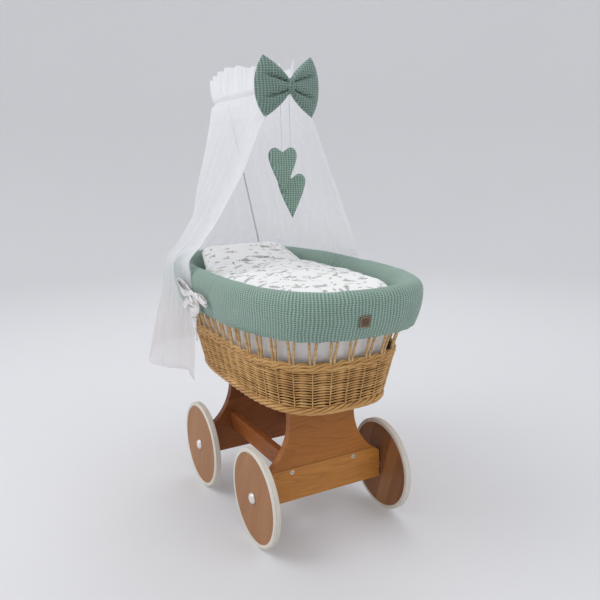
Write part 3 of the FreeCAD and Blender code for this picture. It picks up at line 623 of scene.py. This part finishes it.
def woven_wall():
    """Rods woven between the posts, all rows in step, with the weave's inner layer behind the gaps, coloured
    dark as painted shade seen through them.
    """
    shape = Shape()
    rows = 15
    steps_per_post = 8
    place = np.arange(STAKES * steps_per_post) / steps_per_post
    angles = post_angle(place)
    # Every second place has a post: a rod passes in front of it and behind the places between.
    swing = -np.cos(math.pi * place)
    front = np.clip(swing, 0, 1)
    for row in range(rows):
        share = row / (rows - 1)
        z = WALL_LOW[2] + 0.0030 + (1.16 * share - 0.16 * share * share) * (WALL_HIGH[2] - WALL_LOW[2] - 0.004)
        middle = oval_points(*wall_half_sizes(z), BASKET_POWER, angles, z)
        side, _ = path_frames(middle)
        lift = 0.0024 * swing + 0.0004 * np.sin(angles * 5 + row * 1.7) + 0.0006 * wander(middle, 34.0, 3 + row)
        path = middle + side * (0.0012 + 0.0037 * swing)[:, None] + np.array(UP) * lift[:, None]
        thick = (0.0020 + 0.0010 * front) * (1 + 0.12 * wander(middle * 0.7, 18.0, 40 + row))
        tube(shape, path, thick, 6, True)
    for post in range(0, STAKES, 2):
        low, high = post_line(post + 0.05 * math.sin(post * 3.1))
        inward = unit(np.array([low[0], low[1] * 2, 0.0])) * -0.0020
        tube(shape, np.linspace(low + inward, high + inward, 5), 0.0020, 6, up=(1, 0.3, 0))
    wall = shape.piece("woven_rods", WILLOW, "bassinet")
    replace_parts(wall, "woven_wall")
    # A thin dark shell behind the rods. It stands for the weave's inner layer, and its dark colour is painted
    # shade for the gaps.
    shade_backing = Shape()
    angles = oval_angles(*WALING[:2], BASKET_POWER, 240)
    rows = []
    for z, inward in ((0.392, 0.0052), (0.508, 0.0052), (0.508, 0.0062), (0.392, 0.0062)):
        a, b = wall_half_sizes(z)
        rows.append(oval_points(a - inward, b - inward, BASKET_POWER, angles, z))
    shade_backing.grid(rows, round_u=True, round_v=True)
    shade_backing.piece("woven_inner_rods_painted_shade", PAINTED_SHADE_WILLOW, "bassinet", close=True)


def rope_ring(shape, a, b, z, radius, strand, strands, turns, seed, dip=0.0):
    """Strands twisted round a ring-shaped line, which may dip at every second post."""
    count = 1600
    place = np.arange(count) / count * STAKES
    middle = oval_points(a, b, BASKET_POWER, post_angle(place), z)
    side, over = path_frames(middle)
    middle[:, 2] -= dip * np.cos(math.pi * place)
    for k in range(strands):
        phase = full_turn(count) * turns + k * TAU / strands
        path = middle + side * (radius * np.cos(phase))[:, None] + over * (radius * np.sin(phase))[:, None]
        thick = strand * (1 + 0.10 * wander(middle, 12.0, seed + k))
        tube(shape, path, thick, 6, True)


def stakes():
    """Pairs of curved uprights, together at the waling and apart at the bumper's hem."""
    shape = Shape()
    top_angles = oval_angles(*WALING[:2], BASKET_POWER, STAKES)
    share = np.linspace(0, 1, 9)
    z = 0.500 + (STAKE_TOP[2] - 0.500) * share
    spread = np.maximum(0.0, (z - 0.512) / 0.17)
    a, b = (WALING[k] + (STAKE_TOP[k] - WALING[k]) * spread for k in (0, 1))
    power = BASKET_POWER + (RIM_POWER - BASKET_POWER) * share
    for first in range(0, STAKES, 2):
        pair = top_angles[first:first + 2]
        for k, off in enumerate(pair - pair.mean()):
            low_angle = POST_ANGLES[first + 1] + off * 0.32
            top_angle = pair[k] + off * 0.10 * math.sin(first * 2.3 + k)
            bow = share + 0.22 * np.sin(math.pi * share) * (1 if k else 0.35)
            angle = low_angle + (top_angle - low_angle) * np.minimum(bow, 1.0)
            radius = 0.0034 * (1 + 0.08 * math.sin(first + k * 2))
            tube(shape, smooth_path(oval_points(a, b, power, angle, z), 16), radius, 7, up=(1, 0.3, 0))
    rods = shape.piece("fanned_stakes", PALE_WILLOW, "bassinet")
    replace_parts(rods, "stakes")


def basket_edges():
    """Two ropes of three strands at the top of the wall, and a thick one of six at its foot."""
    band = Shape()
    for out, z, seed, dip in ((0.001, 0.5025, 11, 0.0022), (0.0015, 0.5115, 15, 0.0024)):
        rope_ring(band, WALING[0] + out, WALING[1] + out, z, 0.0032, 0.0031, 3, 20, seed, dip)
    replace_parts(band.piece("waling_rods", WILLOW, "bassinet"), "waling_band")
    border = Shape()
    rope_ring(border, *BORDER, 0.0078, 0.0039, 6, 11, 21)
    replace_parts(border.piece("border_rods", WILLOW, "bassinet"), "foot_border")
    finish_nodes(WILLOW, "wicker_rim")


# ---- liner and bedding

def liner():
    """White cotton bag inside the stakes, loosely gathered."""
    levels = smooth_path([
        (0.327, 0.167, 0.392), (0.336, 0.175, 0.430), (0.352, 0.188, 0.505),
        (0.367, 0.195, 0.550), (0.382, 0.202, 0.590), (0.400, 0.207, 0.640),
    ], 34)
    angles = oval_angles(0.38, 0.2, 3.0, 480)
    rows = []
    for a, b, z in levels:
        power = BASKET_POWER + (RIM_POWER - BASKET_POWER) * (z - 0.39) / 0.25
        ring = oval_points(a, b, power, angles, z)
        side, _ = path_frames(ring)
        room = 0.0035 * step(0.50, 0.56, z)
        fold = np.sin(angles * 31 + 2.2 * wander(ring * [1, 1, 0.3], 9.0, 5)) + 0.6 * wander(ring, 24.0, 6)
        rows.append(ring - side * (0.002 + room * (1 - fold))[:, None] * 0.5)
    shape = Shape()
    shape.grid(rows, round_u=True)
    bottom = oval_points(0.30, 0.14, BASKET_POWER, angles, 0.3905)
    shape.grid([bottom, rows[0]], round_u=True)
    shape.fan(bottom, (0, 0, 0.3905))
    bag = shape.piece("liner_cloth", LINEN, "bassinet", weld=0.0002, close=True)
    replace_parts(bag, "liner")


def mattress():
    """A flat pad with rounded edges and piping round both faces."""
    half_x, half_y = 0.312, 0.152
    angles = oval_angles(half_x, half_y, BASKET_POWER, 160)
    profile = smooth_path([
        (0.80, 0.3925), (0.97, 0.3925), (1.0, 0.400), (1.0, 0.430), (1.0, 0.462),
        (0.97, 0.4705), (0.80, 0.4712), (0.4, 0.4716),
    ], 40)
    rows = []
    for share, z in profile:
        inset = 0.16 * (1 - share)
        rows.append(oval_points(half_x - inset * 2, half_y - inset, BASKET_POWER, angles, z))
    shape = Shape()
    shape.layers(rows, (0, 0, 0.3925), (0, 0, 0.4716))
    piping = Shape()
    for z in (0.398, 0.465):
        tube(piping, oval_points(0.3115, 0.1515, BASKET_POWER, angles, z), 0.0018, 6, True)
    pad = shape.piece("mattress_pad", MATTRESS, "bassinet", weld=0.0002, close=True)
    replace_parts(pad, "mattress")
    piping.piece("mattress_piping", LINEN, "bassinet")


def duvet():
    """A soft quilt that fills the basket, crowned and rumpled."""
    angles = oval_angles(0.37, 0.185, RIM_POWER, 340)
    profile = smooth_path([
        (0.322, 0.162, 0.4735), (0.350, 0.178, 0.520), (0.363, 0.187, 0.580), (0.378, 0.1870, 0.620),
        (0.3900, 0.1900, 0.645), (0.3880, 0.188, 0.662), (0.3700, 0.171, 0.6755), (0.310, 0.128, 0.684),
        (0.18, 0.068, 0.690), (0.09, 0.034, 0.692), (0.03, 0.012, 0.6925),
    ], 96)
    rows = []
    for a, b, z in profile:
        ring = oval_points(a, b, RIM_POWER, angles, z)
        top = step(0.62, 0.68, z)
        ridge = 1 - np.abs(wander(ring * [1.0, 0.55, 1.0], 17.0, 64)) * 2
        soft = 0.0045 * wander(ring, 8.0, 61) + 0.0022 * wander(ring, 22.0, 62)
        soft += 0.0022 * np.clip(ridge, 0, 1) ** 3
        ring[:, 2] += top * (soft - 0.002)
        # It lies flat under the pillow.
        under = step(-0.215, -0.150, ring[:, 0])
        ceiling = 0.6385 + (0.697 - 0.6385) * under
        ring[:, 2] = np.minimum(ring[:, 2], ceiling + 0.4 * (ring[:, 2] - ceiling) * (under > 0.5))
        rows.append(ring)
    shape = Shape()
    shape.layers(rows, (0, 0, 0.4735), (0, 0, 0.6925))
    quilt = shape.piece("duvet_quilt", PRINT, "bassinet", weld=0.0002, close=True)
    layer = quilt.data.uv_layers["cloth"].data
    for loop in quilt.data.loops:
        layer[loop.index].uv = quilt.data.vertices[loop.vertex_index].co.xy
    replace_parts(quilt, "duvet")


def corner_inset(radius, half, edge):
    """How far a round corner draws a side in, at a half width, when the edge's half width is edge."""
    past = np.maximum(0.0, half - (edge - radius))
    return radius - np.sqrt(radius ** 2 - past ** 2 + 1e-9)


def pillow():
    """A thin pillow with round corners at the head end, crowned between its seams and raised there."""
    long_side, wide, thick = 0.202, 0.324, 0.038
    head_corner, foot_corner = 0.050, 0.026
    along, across = 90, 150
    place = Vector((-0.187, 0, 0.6475))
    tilt = Matrix.Rotation(math.radians(13), 3, "Y")
    cloth = np.stack(np.meshgrid(np.linspace(0, long_side, along + 1), np.linspace(0, wide, across + 1)), -1)
    shape = Shape()
    for face, fullness in ((1, 0.92), (-1, 0.8)):
        rows = []
        for j in range(across + 1):
            v = math.sin((-1 + 2 * j / across) * math.pi / 2)
            half = wide / 2 * abs(v)
            low = -long_side + corner_inset(head_corner, half, wide / 2) + 0.004 * (1 - v * v)
            high = -corner_inset(foot_corner, half, wide / 2) - 0.003 * (1 - v * v)
            row = []
            for i in range(along + 1):
                u = -1 + 2 * i / along
                x = (low + high) / 2 + u * (high - low) / 2
                raised = min(1.0, max(0.0, -x / long_side))
                y = 0.030 * raised + v * (wide / 2 - 0.026 * raised)
                crown = ((1 - u ** 4) * (1 - v ** 6)) ** 0.5
                spot = Vector((x, y, 0))
                soft = 0.0030 * noise.noise(spot * 13 + Vector((3, 1, face))) + 0.0012 * noise.noise(spot * 38)
                soft += 0.0016 * (1 - abs(noise.noise(spot * 24 + Vector((9, 2, 5))))) ** 4
                z = thick / 2 + face * thick / 2 * crown * fullness + crown * soft
                row.append(place + tilt @ Vector((x, y, z)))
            rows.append(row)
        shape.grid(rows, uv=cloth + face * 0.37)
    pad = shape.piece("pillow_pad", PRINT_PILLOW, "bassinet", weld=0.0006, close=True)
    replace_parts(pad, "pillow")


# ---- bumper

# Half length, half width and height of rings down the roll's face, from its inner edge over to its hem.
BUMPER_VISIBLE = [
    (0.4035, 0.1985, 0.640), (0.4015, 0.1965, 0.652), (0.412, 0.1997, 0.675), (0.421, 0.2085, 0.691),
    (0.434, 0.2215, 0.6995), (0.447, 0.235, 0.6995), (0.459, 0.247, 0.691), (0.4655, 0.2535, 0.675),
    (0.4645, 0.2535, 0.648), (0.4555, 0.2495, 0.615), (0.4425, 0.2440, 0.588), (0.4385, 0.2405, 0.5855),
]


def bumper():
    """A padded waffle-cotton roll over the rim, drawn in where the ties hold it."""
    visible = smooth_path(BUMPER_VISIBLE, 110)
    slope = np.gradient(visible[:, [0, 2]], axis=0)
    normal = unit(np.stack([slope[:, 1], -slope[:, 0]], -1))
    thick, tie_x = 0.010, -0.085
    back = (visible + normal[:, [0, 0, 1]] * thick)[::-1][1:-1:3]
    count = BUMPER_CELLS * 2
    angles = oval_angles(0.455, 0.245, RIM_POWER, count)
    marks = np.meshgrid(np.linspace(0, BUMPER_CELLS, count + 1), lengths(visible) / BUMPER_CELL_TALL)
    rows = []
    for k, (a, b, z) in enumerate(visible):
        ring = oval_points(a, b, RIM_POWER, angles, z)
        side, _ = path_frames(ring)
        outward = -normal[k]
        share = k / (len(visible) - 1)
        soft = 0.0018 * wander(ring, 11.0, 71) + 0.0008 * wander(ring, 34.0, 72)
        hem = 0.0016 * np.sin(angles * 46) * step(0.86, 1.0, share)
        along = ring[:, 0] - tie_x + 0.10 * (share - 0.5)
        gathered = np.abs(np.sin(along * 150 + 1.5 * np.sin(share * 5 + 1))) - 1
        crease = 0.0042 * gathered * np.exp(-(along / 0.040) ** 2)
        push = soft - 0.0012 + hem + crease * (1 - 0.5 * step(0.0, 0.25, 0.25 - share))
        ring = ring + side * (outward[0] * push)[:, None]
        ring[:, 2] += outward[1] * push
        rows.append(ring)
    shape = Shape()
    shape.grid(rows, round_u=True, uv=np.stack(marks, -1))
    inner = [oval_points(a, b, RIM_POWER, angles, z) for a, b, z in back]
    shape.grid([rows[-1], *inner, rows[0]], round_u=True)
    roll = shape.piece("bumper_roll", WAFFLE, "bassinet", weld=0.00005, close=True)
    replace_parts(roll, "bumper")


def patch():
    """Small leather label: rounded square, stitched round its edge, with a plain ring mark."""
    low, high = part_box("leather_patch")
    finish_nodes(PATCH, "leather_patch")
    angle = -0.14
    a, b = 0.4605, 0.2515
    before, after = (Vector((*oval_xy(a, b, RIM_POWER, angle + d), 0)) for d in (-0.02, 0.02))
    across = (after - before).normalized()
    out = across.cross(Vector(UP))
    lean = math.radians(14)
    normal = (out * math.cos(lean) - Vector(UP) * math.sin(lean)).normalized()
    up = normal.cross(across)
    face = (low + high) / 2 + normal * 0.0012
    ring = Shape()
    turn = full_turn(48)
    for radius in (0.0068, 0.0030):
        loop = [face + across * (radius * math.cos(t)) + up * (radius * math.sin(t)) for t in turn]
        tube(ring, np.array(loop), 0.00045, 6, True, up=tuple(normal))
    ring.piece("leather_patch_mark", DARK_PATCH, "bassinet")
    stitches = Shape()
    edge = 0.0118
    for k in range(8):
        t = -edge + (k + 0.2) * 2 * edge / 8
        for first, second in ((across, up), (across, -up), (up, across), (up, -across)):
            start = face + first * t + second * edge
            stop = start + first * 0.0019
            middle = (start + stop) / 2 + normal * 0.0004
            tube(stitches, np.array([start, middle, stop]), 0.0003, 6, up=tuple(normal))
    stitches.piece("leather_patch_stitches", THREAD, "bassinet")


# ---- bow and hearts

BOW_CENTRE = (0.073, -0.006, 1.170)


def bow_lobe(name, sign, node):
    """One stuffed wing of the bow, with two pleats that fan out from the knot."""
    bend = math.radians(13)
    knot_y, knot_z, tip_z = 0.0045, 0.014, 0.0765
    pleat_place = 0.42
    s, t = np.meshgrid(np.linspace(0, 1, 61), np.linspace(-1, 1, 81))
    reach = (0.073 + 0.026 * (1 - np.abs(t) ** 2.3)) * (0.945 if sign < 0 else 1.0)
    y = knot_y + (reach - knot_y) * s
    z = (knot_z + (tip_z - knot_z) * s ** 0.66) * t * (1 + 0.02 * np.sin(s * 3))
    rim = np.sqrt((1 - np.abs(t) ** 5) * (1 - s ** 9))
    body = 0.0075 + 0.0085 * np.sin(math.pi * (0.12 + s * 0.80)) ** 0.8
    pleat = sum(np.exp(-((t - at) / (0.060 + 0.03 * s)) ** 2) for at in (-pleat_place, pleat_place))
    pleat *= 1 - step(0.55, 0.86, s)
    roll = 0.0022 * np.cos(t * math.pi / pleat_place) * (1 - step(0.2, 0.80, s))
    depth = np.maximum(0.0006, body - 0.0105 * pleat + roll) * rim
    shape = Shape()
    for face in (1, -1):
        x = face * depth - (y - knot_y) * math.sin(bend)
        points = np.stack([x, sign * y * math.cos(bend), z], -1) + BOW_CENTRE
        shape.grid(points, uv=np.stack([y / CELL[0], z / CELL[1] + 0.45 * pleat], -1))
    lobe = shape.piece(name, WAFFLE_BOW, "canopy", weld=0.0003, close=True)
    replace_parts(lobe, node)


def bow_knot():
    """The band round the middle of the bow: a soft loop with gathered creases."""
    half, grip = 0.0118, 0.018
    places = np.linspace(-1, 1, 28)
    t, v = np.meshgrid(full_turn(72), places)
    radius = np.sqrt(1 - np.abs(v) ** 3.2)
    crease = 1 - 0.09 * np.abs(np.sin(v * 7.5 + 0.7 * np.sin(t * 2)))
    x = 0.0155 * signed_power(np.cos(t), 0.75) * (0.55 + 0.45 * radius) * crease * (0.2 + 0.8 * radius)
    z = 0.0200 * signed_power(np.sin(t), 0.85) * (0.80 + 0.20 * radius) * crease
    around, along = np.meshgrid(np.linspace(0, TAU, 73) * grip / CELL[1], places * half / CELL[0])
    shape = Shape()
    shape.layers(np.stack([x + 0.0015, v * half, z], -1) + BOW_CENTRE, uv=np.stack([along, around], -1))
    knot = shape.piece("bow_knot_band", WAFFLE_BOW, "canopy", weld=0.0002, close=True)
    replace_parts(knot, "bow_knot")


def heart_outline(half, tall):
    """A tall narrow heart, tip at z 0, from the tip up the right side and back down the left."""
    right = smooth_path(np.array([
        (0, 0), (0.30, 0.205), (0.62, 0.43), (0.89, 0.655), (1.0, 0.815), (0.93, 0.935), (0.72, 0.995),
        (0.47, 1.0), (0.22, 0.955), (0, 0.90),
    ]) * (half, tall), 60)
    return np.vstack([right, right[::-1][1:-1] * (-1, 1)])


def heart(name, node, body, spot):
    """A stuffed heart with a seam round its edge, coloured dark as painted shade, and a dent under its notch.
    """
    half, tall, thick = 0.0415, 0.118, 0.024
    ring = heart_outline(half, tall)
    middle = np.array([0, tall * 0.64])
    share = np.linspace(0, 1, 20)[:, None] ** 0.8
    flat = middle + (ring - middle) * share[..., None]
    low = np.clip(flat[..., 1] / (tall * 0.55), 0.12, 1) ** 0.6
    dent = 1 - 0.30 * np.exp(-(flat[..., 0] / 0.010) ** 2) * step(tall * 0.72, tall * 0.95, flat[..., 1])
    depth = (thick / 2 * np.sqrt(1 - share ** 3.4) * low * dent)[..., None]
    marks = np.concatenate([flat, flat[:, :1]], 1) / CELL
    shape = Shape()
    for face in (1, -1):
        shape.grid(np.concatenate([face * depth, flat], -1) + spot, round_u=True, uv=marks)
    pad = shape.piece(name, WAFFLE, body, weld=0.0003, close=True)
    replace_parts(pad, node)
    # The seam is real. Its dark colour is painted shade along the edge of the heart.
    seam = Shape()
    tube(seam, np.column_stack([np.zeros(len(ring)), ring]) + spot, 0.0006, 5, True, up=(1, 0, 0))
    seam.piece(name + "_seam", SEAM_SHADE, body)


# ---- tie bows

def ribbon(shape, centre, wide, across, thick, fold):
    """A flat strip of doubled cloth along a line; across gives its width direction at each point."""
    across = unit(across)
    normal = unit(np.cross(unit(np.gradient(centre, axis=0)), across))
    length = lengths(centre)
    loop = []
    marks = []
    spots = np.concatenate([np.linspace(-1, 1, 9), np.linspace(1, -1, 9)])
    faces = np.concatenate([np.ones(9), -np.ones(9)])
    for spot, face in zip(spots, faces):
        dip = fold * (1 - spot * spot)
        loop.append(centre + across * wide[:, None] * spot / 2 + normal * (face * thick / 2 + dip))
        marks.append(np.stack([length, np.full(len(length), spot * 0.012 + 0.04 * face)], -1))
    loop = np.array(loop)
    marks = np.array(marks + [marks[0]])
    shape.grid(loop, round_v=True, uv=marks)
    shape.fan(loop[:, 0], loop[:, 0].mean(0), uv=marks[0][0])
    shape.fan(loop[:, -1], loop[:, -1].mean(0), uv=marks[0][-1])


def tie_bow(name, sign, node):
    """A knotted bow of printed cotton: two loops, two tails and a crumpled knot."""
    knot = np.array([-0.029, sign * 0.2610, 0.6395])
    flip = np.array([1.0, sign, 1.0])
    shape = Shape()
    strips = (
        # Each strip: points out from the knot and its widths, in mm, and the way its width points.
        # The big loop goes out in front, turns at its far end and comes back against the bumper.
        ([(0, 4, 0), (-13, 8, -2), (-36, 12, -3), (-62, 12.5, 2), (-84, 10, 8), (-94, 5, 12), (-84, 0.5, 14),
          (-48, -2, 7), (-14, 0, 2), (0, 1, 0)],
         (9, 15, 22, 30, 34, 35, 34, 28, 16, 9), (0.05, 0.30, 1.0)),
        ([(0, 4, 0), (24, 7, 1), (52, 9, 1), (80, 8, -5), (98, 4, -12), (101, 0, -14), (94, -3, -11),
          (60, -4, -3), (24, -1, 0), (0, 1, 0)],
         (8, 15, 19, 19, 17, 16, 16, 17, 13, 8), (0.35, 0.10, 1.0)),
        ([(0, 4, -3), (14, 6, -12), (24, 6, -24), (27, 6, -44), (19, 5.5, -64), (18, 5, -90), (27, 4, -124)],
         (9, 24, 36, 30, 16, 11, 2), (0.88, -0.47, 0.06)),
        ([(0, 3, -3), (-14, 4, -10), (-30, 4, -20), (-53, 4, -37), (-74, 4, -55)],
         (9, 16, 21, 20, 9), (-0.55, 0.25, 0.85)),
        ([(0, 7, -2), (10, 11, -9), (22, 10, -20), (22, 5, -30), (12, 4, -24), (2, 4, -6)],
         (8, 11, 13, 12, 10, 7), (0.75, -0.2, 0.55)),
    )
    for points, widths, across in strips:
        spots = np.array(points, float) / 1000
        steps = 12 * (len(points) - 1)
        path = knot + smooth_path(spots, steps) * flip
        wide = np.interp(np.linspace(0, len(widths) - 1, steps), range(len(widths)), widths) / 1000
        run = np.linspace(0, 1, steps)
        way = np.array(across) + np.outer(np.sin(run * 7 + len(points)) * 0.12, [0.4, 0.6, 0.2])
        ribbon(shape, path, wide, way * flip, thick=0.0010, fold=0.0016)
    t, v = np.meshgrid(full_turn(30), np.linspace(-1, 1, 17))
    swell = np.sqrt(1 - v * v)
    lump_x = 0.0095 * swell * np.cos(t) * (1 + 0.14 * np.sin(3 * t + v * 4))
    lump_y = 0.004 + 0.0065 * swell * np.sin(t) * (1 + 0.10 * np.sin(4 * t + v * 5))
    shape.grid(np.stack([lump_x, sign * lump_y, 0.0115 * v - 0.002], -1) + knot, round_u=True)
    bow = shape.piece(name, PRINT_TIE, "bassinet", weld=0.00005)
    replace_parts(bow, node)


# ---- veil

VEIL_LEVELS = [
    # height, centre x, half length, half width, left front x, right front x
    (1.249, -0.186, 0.236, 0.060, 0.046, 0.048), (1.160, -0.186, 0.236, 0.060, 0.044, 0.046),
    (1.100, -0.118, 0.300, 0.082, 0.066, 0.040), (0.950, -0.060, 0.388, 0.126, 0.020, 0.060),
    (0.820, -0.020, 0.440, 0.172, -0.058, 0.060), (0.745, 0.000, 0.466, 0.232, -0.058, 0.008),
    (0.705, 0.000, 0.480, 0.271, -0.052, -0.040), (0.600, 0.000, 0.492, 0.292, -0.045, -0.045),
    (0.500, 0.000, 0.505, 0.322, -0.045, -0.045), (0.385, 0.000, 0.528, 0.350, -0.045, -0.045),
]


def veil_edge_angle(share):
    """The angle at which the veil's oval reaches a share of its half length."""
    return math.acos(signed_power(max(-0.999, min(share, 0.999)), RIM_POWER / 2))


def veil():
    """Sheer cloth gathered to a loop at the crown, open at the front, in long soft folds."""
    across, down, folds = 760, 150, 20
    top_z, loop_z, hem_z = VEIL_LEVELS[0][0], 1.165, VEIL_LEVELS[-1][0]
    table = np.array(VEIL_LEVELS)[::-1]
    heights = np.concatenate([np.linspace(top_z, 1.10, 36), np.linspace(1.10, hem_z, down - 36)[1:]])
    draw = np.random.default_rng(7)
    centres = (np.arange(folds) + 0.5 + draw.uniform(-0.35, 0.35, folds)) / folds
    depths = draw.uniform(0.35, 1.0, folds)
    widths = draw.uniform(0.009, 0.022, folds)
    starts = draw.uniform(0.80, 1.16, folds)
    leans = draw.uniform(-0.015, 0.015, folds)
    share = np.linspace(0, 1, across)
    rows = []
    cover = []
    for z in heights:
        centre, a, b, left, right = (np.interp(z, table[:, 0], table[:, k]) for k in range(1, 6))
        start = veil_edge_angle((left - centre) / a)
        finish = TAU - veil_edge_angle((right - centre) / a)
        fine = np.linspace(start, finish, 1500)
        x = centre + a * signed_power(np.cos(fine), 2 / RIM_POWER)
        y = -b * signed_power(np.sin(fine), 2 / RIM_POWER)
        walked = lengths(np.stack([x, y], -1))
        walked /= walked[-1]
        ring = np.stack([np.interp(share, walked, x), np.interp(share, walked, y), np.full(across, z)], -1)
        tangent = unit(np.gradient(ring, axis=0))
        inward = np.stack([-tangent[:, 1], tangent[:, 0], np.zeros(across)], -1)
        if np.sum(inward * ((centre, 0, z) - ring)) < 0:
            inward = -inward
        fall = loop_z - z
        header = step(1.150, 1.185, z)
        size = 0.012 * step(0.02, 0.30, fall) * (1 - header)
        ripple = np.zeros(across)
        for k in range(folds):
            grown = step(starts[k], starts[k] - 0.25, z)
            line = (share - centres[k] - leans[k] * fall) / (widths[k] * (0.7 + 0.5 * max(fall, 0)))
            ripple += depths[k] * max(grown, 0.12) * np.exp(-line * line)
        near_rim = 1 - 0.5 * (step(0.56, 0.62, z) - step(0.72, 0.80, z))
        flare = 1 + 0.7 * step(0.62, 0.40, z)
        push = size * ripple * near_rim * flare
        slow = 0.005 * np.sin(share * 31 + 1.3 * math.sin(z * 7)) * (1 - header) * step(0.05, 0.3, fall)
        pinch = math.exp(-((z - 1.158) / 0.008) ** 2)
        pleat = np.sin(share * TAU * 64 + 1.5 * np.sin(share * 40))
        puff = np.sin(share * TAU * 15 + 2.0 * np.sin(share * 17))
        top = header * (0.0045 + 0.0065 * puff * step(1.165, 1.20, z) + 0.0016 * pleat)
        top = top + (1 - header) * 0.0012 * (1 + pleat) * step(0.30, 0.0, fall)
        push = push + slow * 0.6 + top + pinch * 0.009
        ring = ring + inward * push[:, None]
        # Where the tie bow holds it, the cloth lies close against the bumper.
        held = step(0.76, 0.69, z)
        below = step(0.60, hem_z, z)
        side = held * step(-0.27 - 0.05 * below, -0.15 + 0.03 * below, ring[:, 0]) * (ring[:, 1] < 0)
        side *= 1 - 0.25 * below
        rest = -0.2565 - 0.0012 * pleat + below * (0.030 - 0.012 * np.sin(share * 46 + 1.0))
        ring[:, 1] += (rest - ring[:, 1]) * side
        sag = 0.020 * (0.5 + 0.5 * np.sin(share * 15 + 0.8)) + 0.004 * (0.5 + 0.5 * puff)
        swoop = 0.5 + 0.5 * np.sin(share * 19 + 2.0) * np.sin(share * 7)
        ring[:, 2] += step(0.48, hem_z, z) * 0.014 * swoop - step(1.2, top_z, z) * sag
        rows.append(ring)
        front = np.exp(-(share / 0.075) ** 4) * step(0.60, 0.72, z) + 0.5 * np.exp(-((1 - share) / 0.03) ** 2)
        shade = 0.50 + 0.24 * np.clip(ripple, 0, 1.2) * step(0.0, 0.3, fall) + 0.40 * front
        shade += 0.40 * math.exp(-max(0.0, fall) / 0.10) + 0.10 * pinch
        shade = np.where(z < hem_z + 0.010, 0.85, shade)
        cover.append(np.clip(shade, 0, 0.95))
    shape = Shape()
    shape.grid(rows, uv=np.stack(np.meshgrid(share * 30, heights * 0.8), -1))
    cloth = shape.piece("veil_cloth", VOILE, "canopy")
    layer = cloth.data.attributes.new("cover", "FLOAT", "POINT")
    layer.data.foreach_set("value", np.array(cover, np.float32).ravel())
    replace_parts(cloth, "veil")


# ---- stage and lights

def stage_and_lights():
    """A round studio bowl: pale floor that turns up into a pale wall, out of every camera's way."""
    floor_radius, cove = 4.2, 1.4
    profile = [(1.0, 0.0), (2.5, 0.0), (floor_radius, 0.0)]
    for k in range(1, 13):
        t = k / 12 * math.pi / 2
        profile.append((floor_radius + cove * math.sin(t), cove - cove * math.cos(t)))
    profile.append((floor_radius + cove, 7.0))
    rows = [[(r * math.cos(t), r * math.sin(t), z) for t in full_turn(96)] for r, z in profile]
    shape = Shape()
    shape.grid(rows, round_u=True)
    shape.fan(rows[0], (0, 0, 0))
    f = Finish("studio_paint", 0.75, 0.2)
    f.set({"Emission Color": (1, 1, 1), "Emission Strength": 0.135})
    paint = f.done(f.mix(f.noise(0.8) * 0.3, rgb(203, 203, 205), rgb(194, 195, 198)))
    shape.made("studio", paint, 0.0001, True)
    lamps = (
        # place, aim, width and power
        ((-0.6, -2.6, 3.4), (0.0, 0.0, 0.5), 2.6, 50.0),
        ((2.6, 1.6, 3.0), (0.0, 0.0, 0.6), 2.4, 14.0),
        ((-2.4, 1.6, 3.2), (0.0, 0.0, 0.8), 2.4, 23.0),
    )
    for k, (spot, aim, size, power) in enumerate(lamps):
        light = bpy.data.lights.new(f"softbox_{k}", "AREA")
        light.shape = "DISK"
        light.size = size
        light.energy = power
        lamp = add_object(f"softbox_{k}", light)
        lamp.location = spot
        lamp.rotation_mode = "QUATERNION"
        lamp.rotation_quaternion = (Vector(aim) - Vector(spot)).to_track_quat("-Z", "Y")
    world = bpy.data.worlds.new("studio_air")
    world.use_nodes = True
    sky = world.node_tree.nodes["Background"].inputs
    sky["Color"].default_value = (0.93, 0.95, 1.0, 1)
    sky["Strength"].default_value = 1.0
    bpy.context.scene.world = world
    bpy.context.scene.view_settings.view_transform = "Standard"


stand()
woven_wall()
stakes()
basket_edges()
liner()
mattress()
duvet()
pillow()
bumper()
patch()
bow_lobe("bow_lobe_left", -1, "bow_left_lobe")
bow_lobe("bow_lobe_right", 1, "bow_right_lobe")
bow_knot()
heart("heart_upper", "upper_heart", "upper_heart", (0.035, -0.0125, 0.898))
heart("heart_lower", "lower_heart", "lower_heart", (0.008, 0.0275, 0.828))
finish_nodes(THREAD, "upper_heart_thread", "lower_heart_thread")
tie_bow("tie_bow_left", -1, "left_tie_bow")
tie_bow("tie_bow_right", 1, "right_tie_bow")
veil()
stage_and_lights()
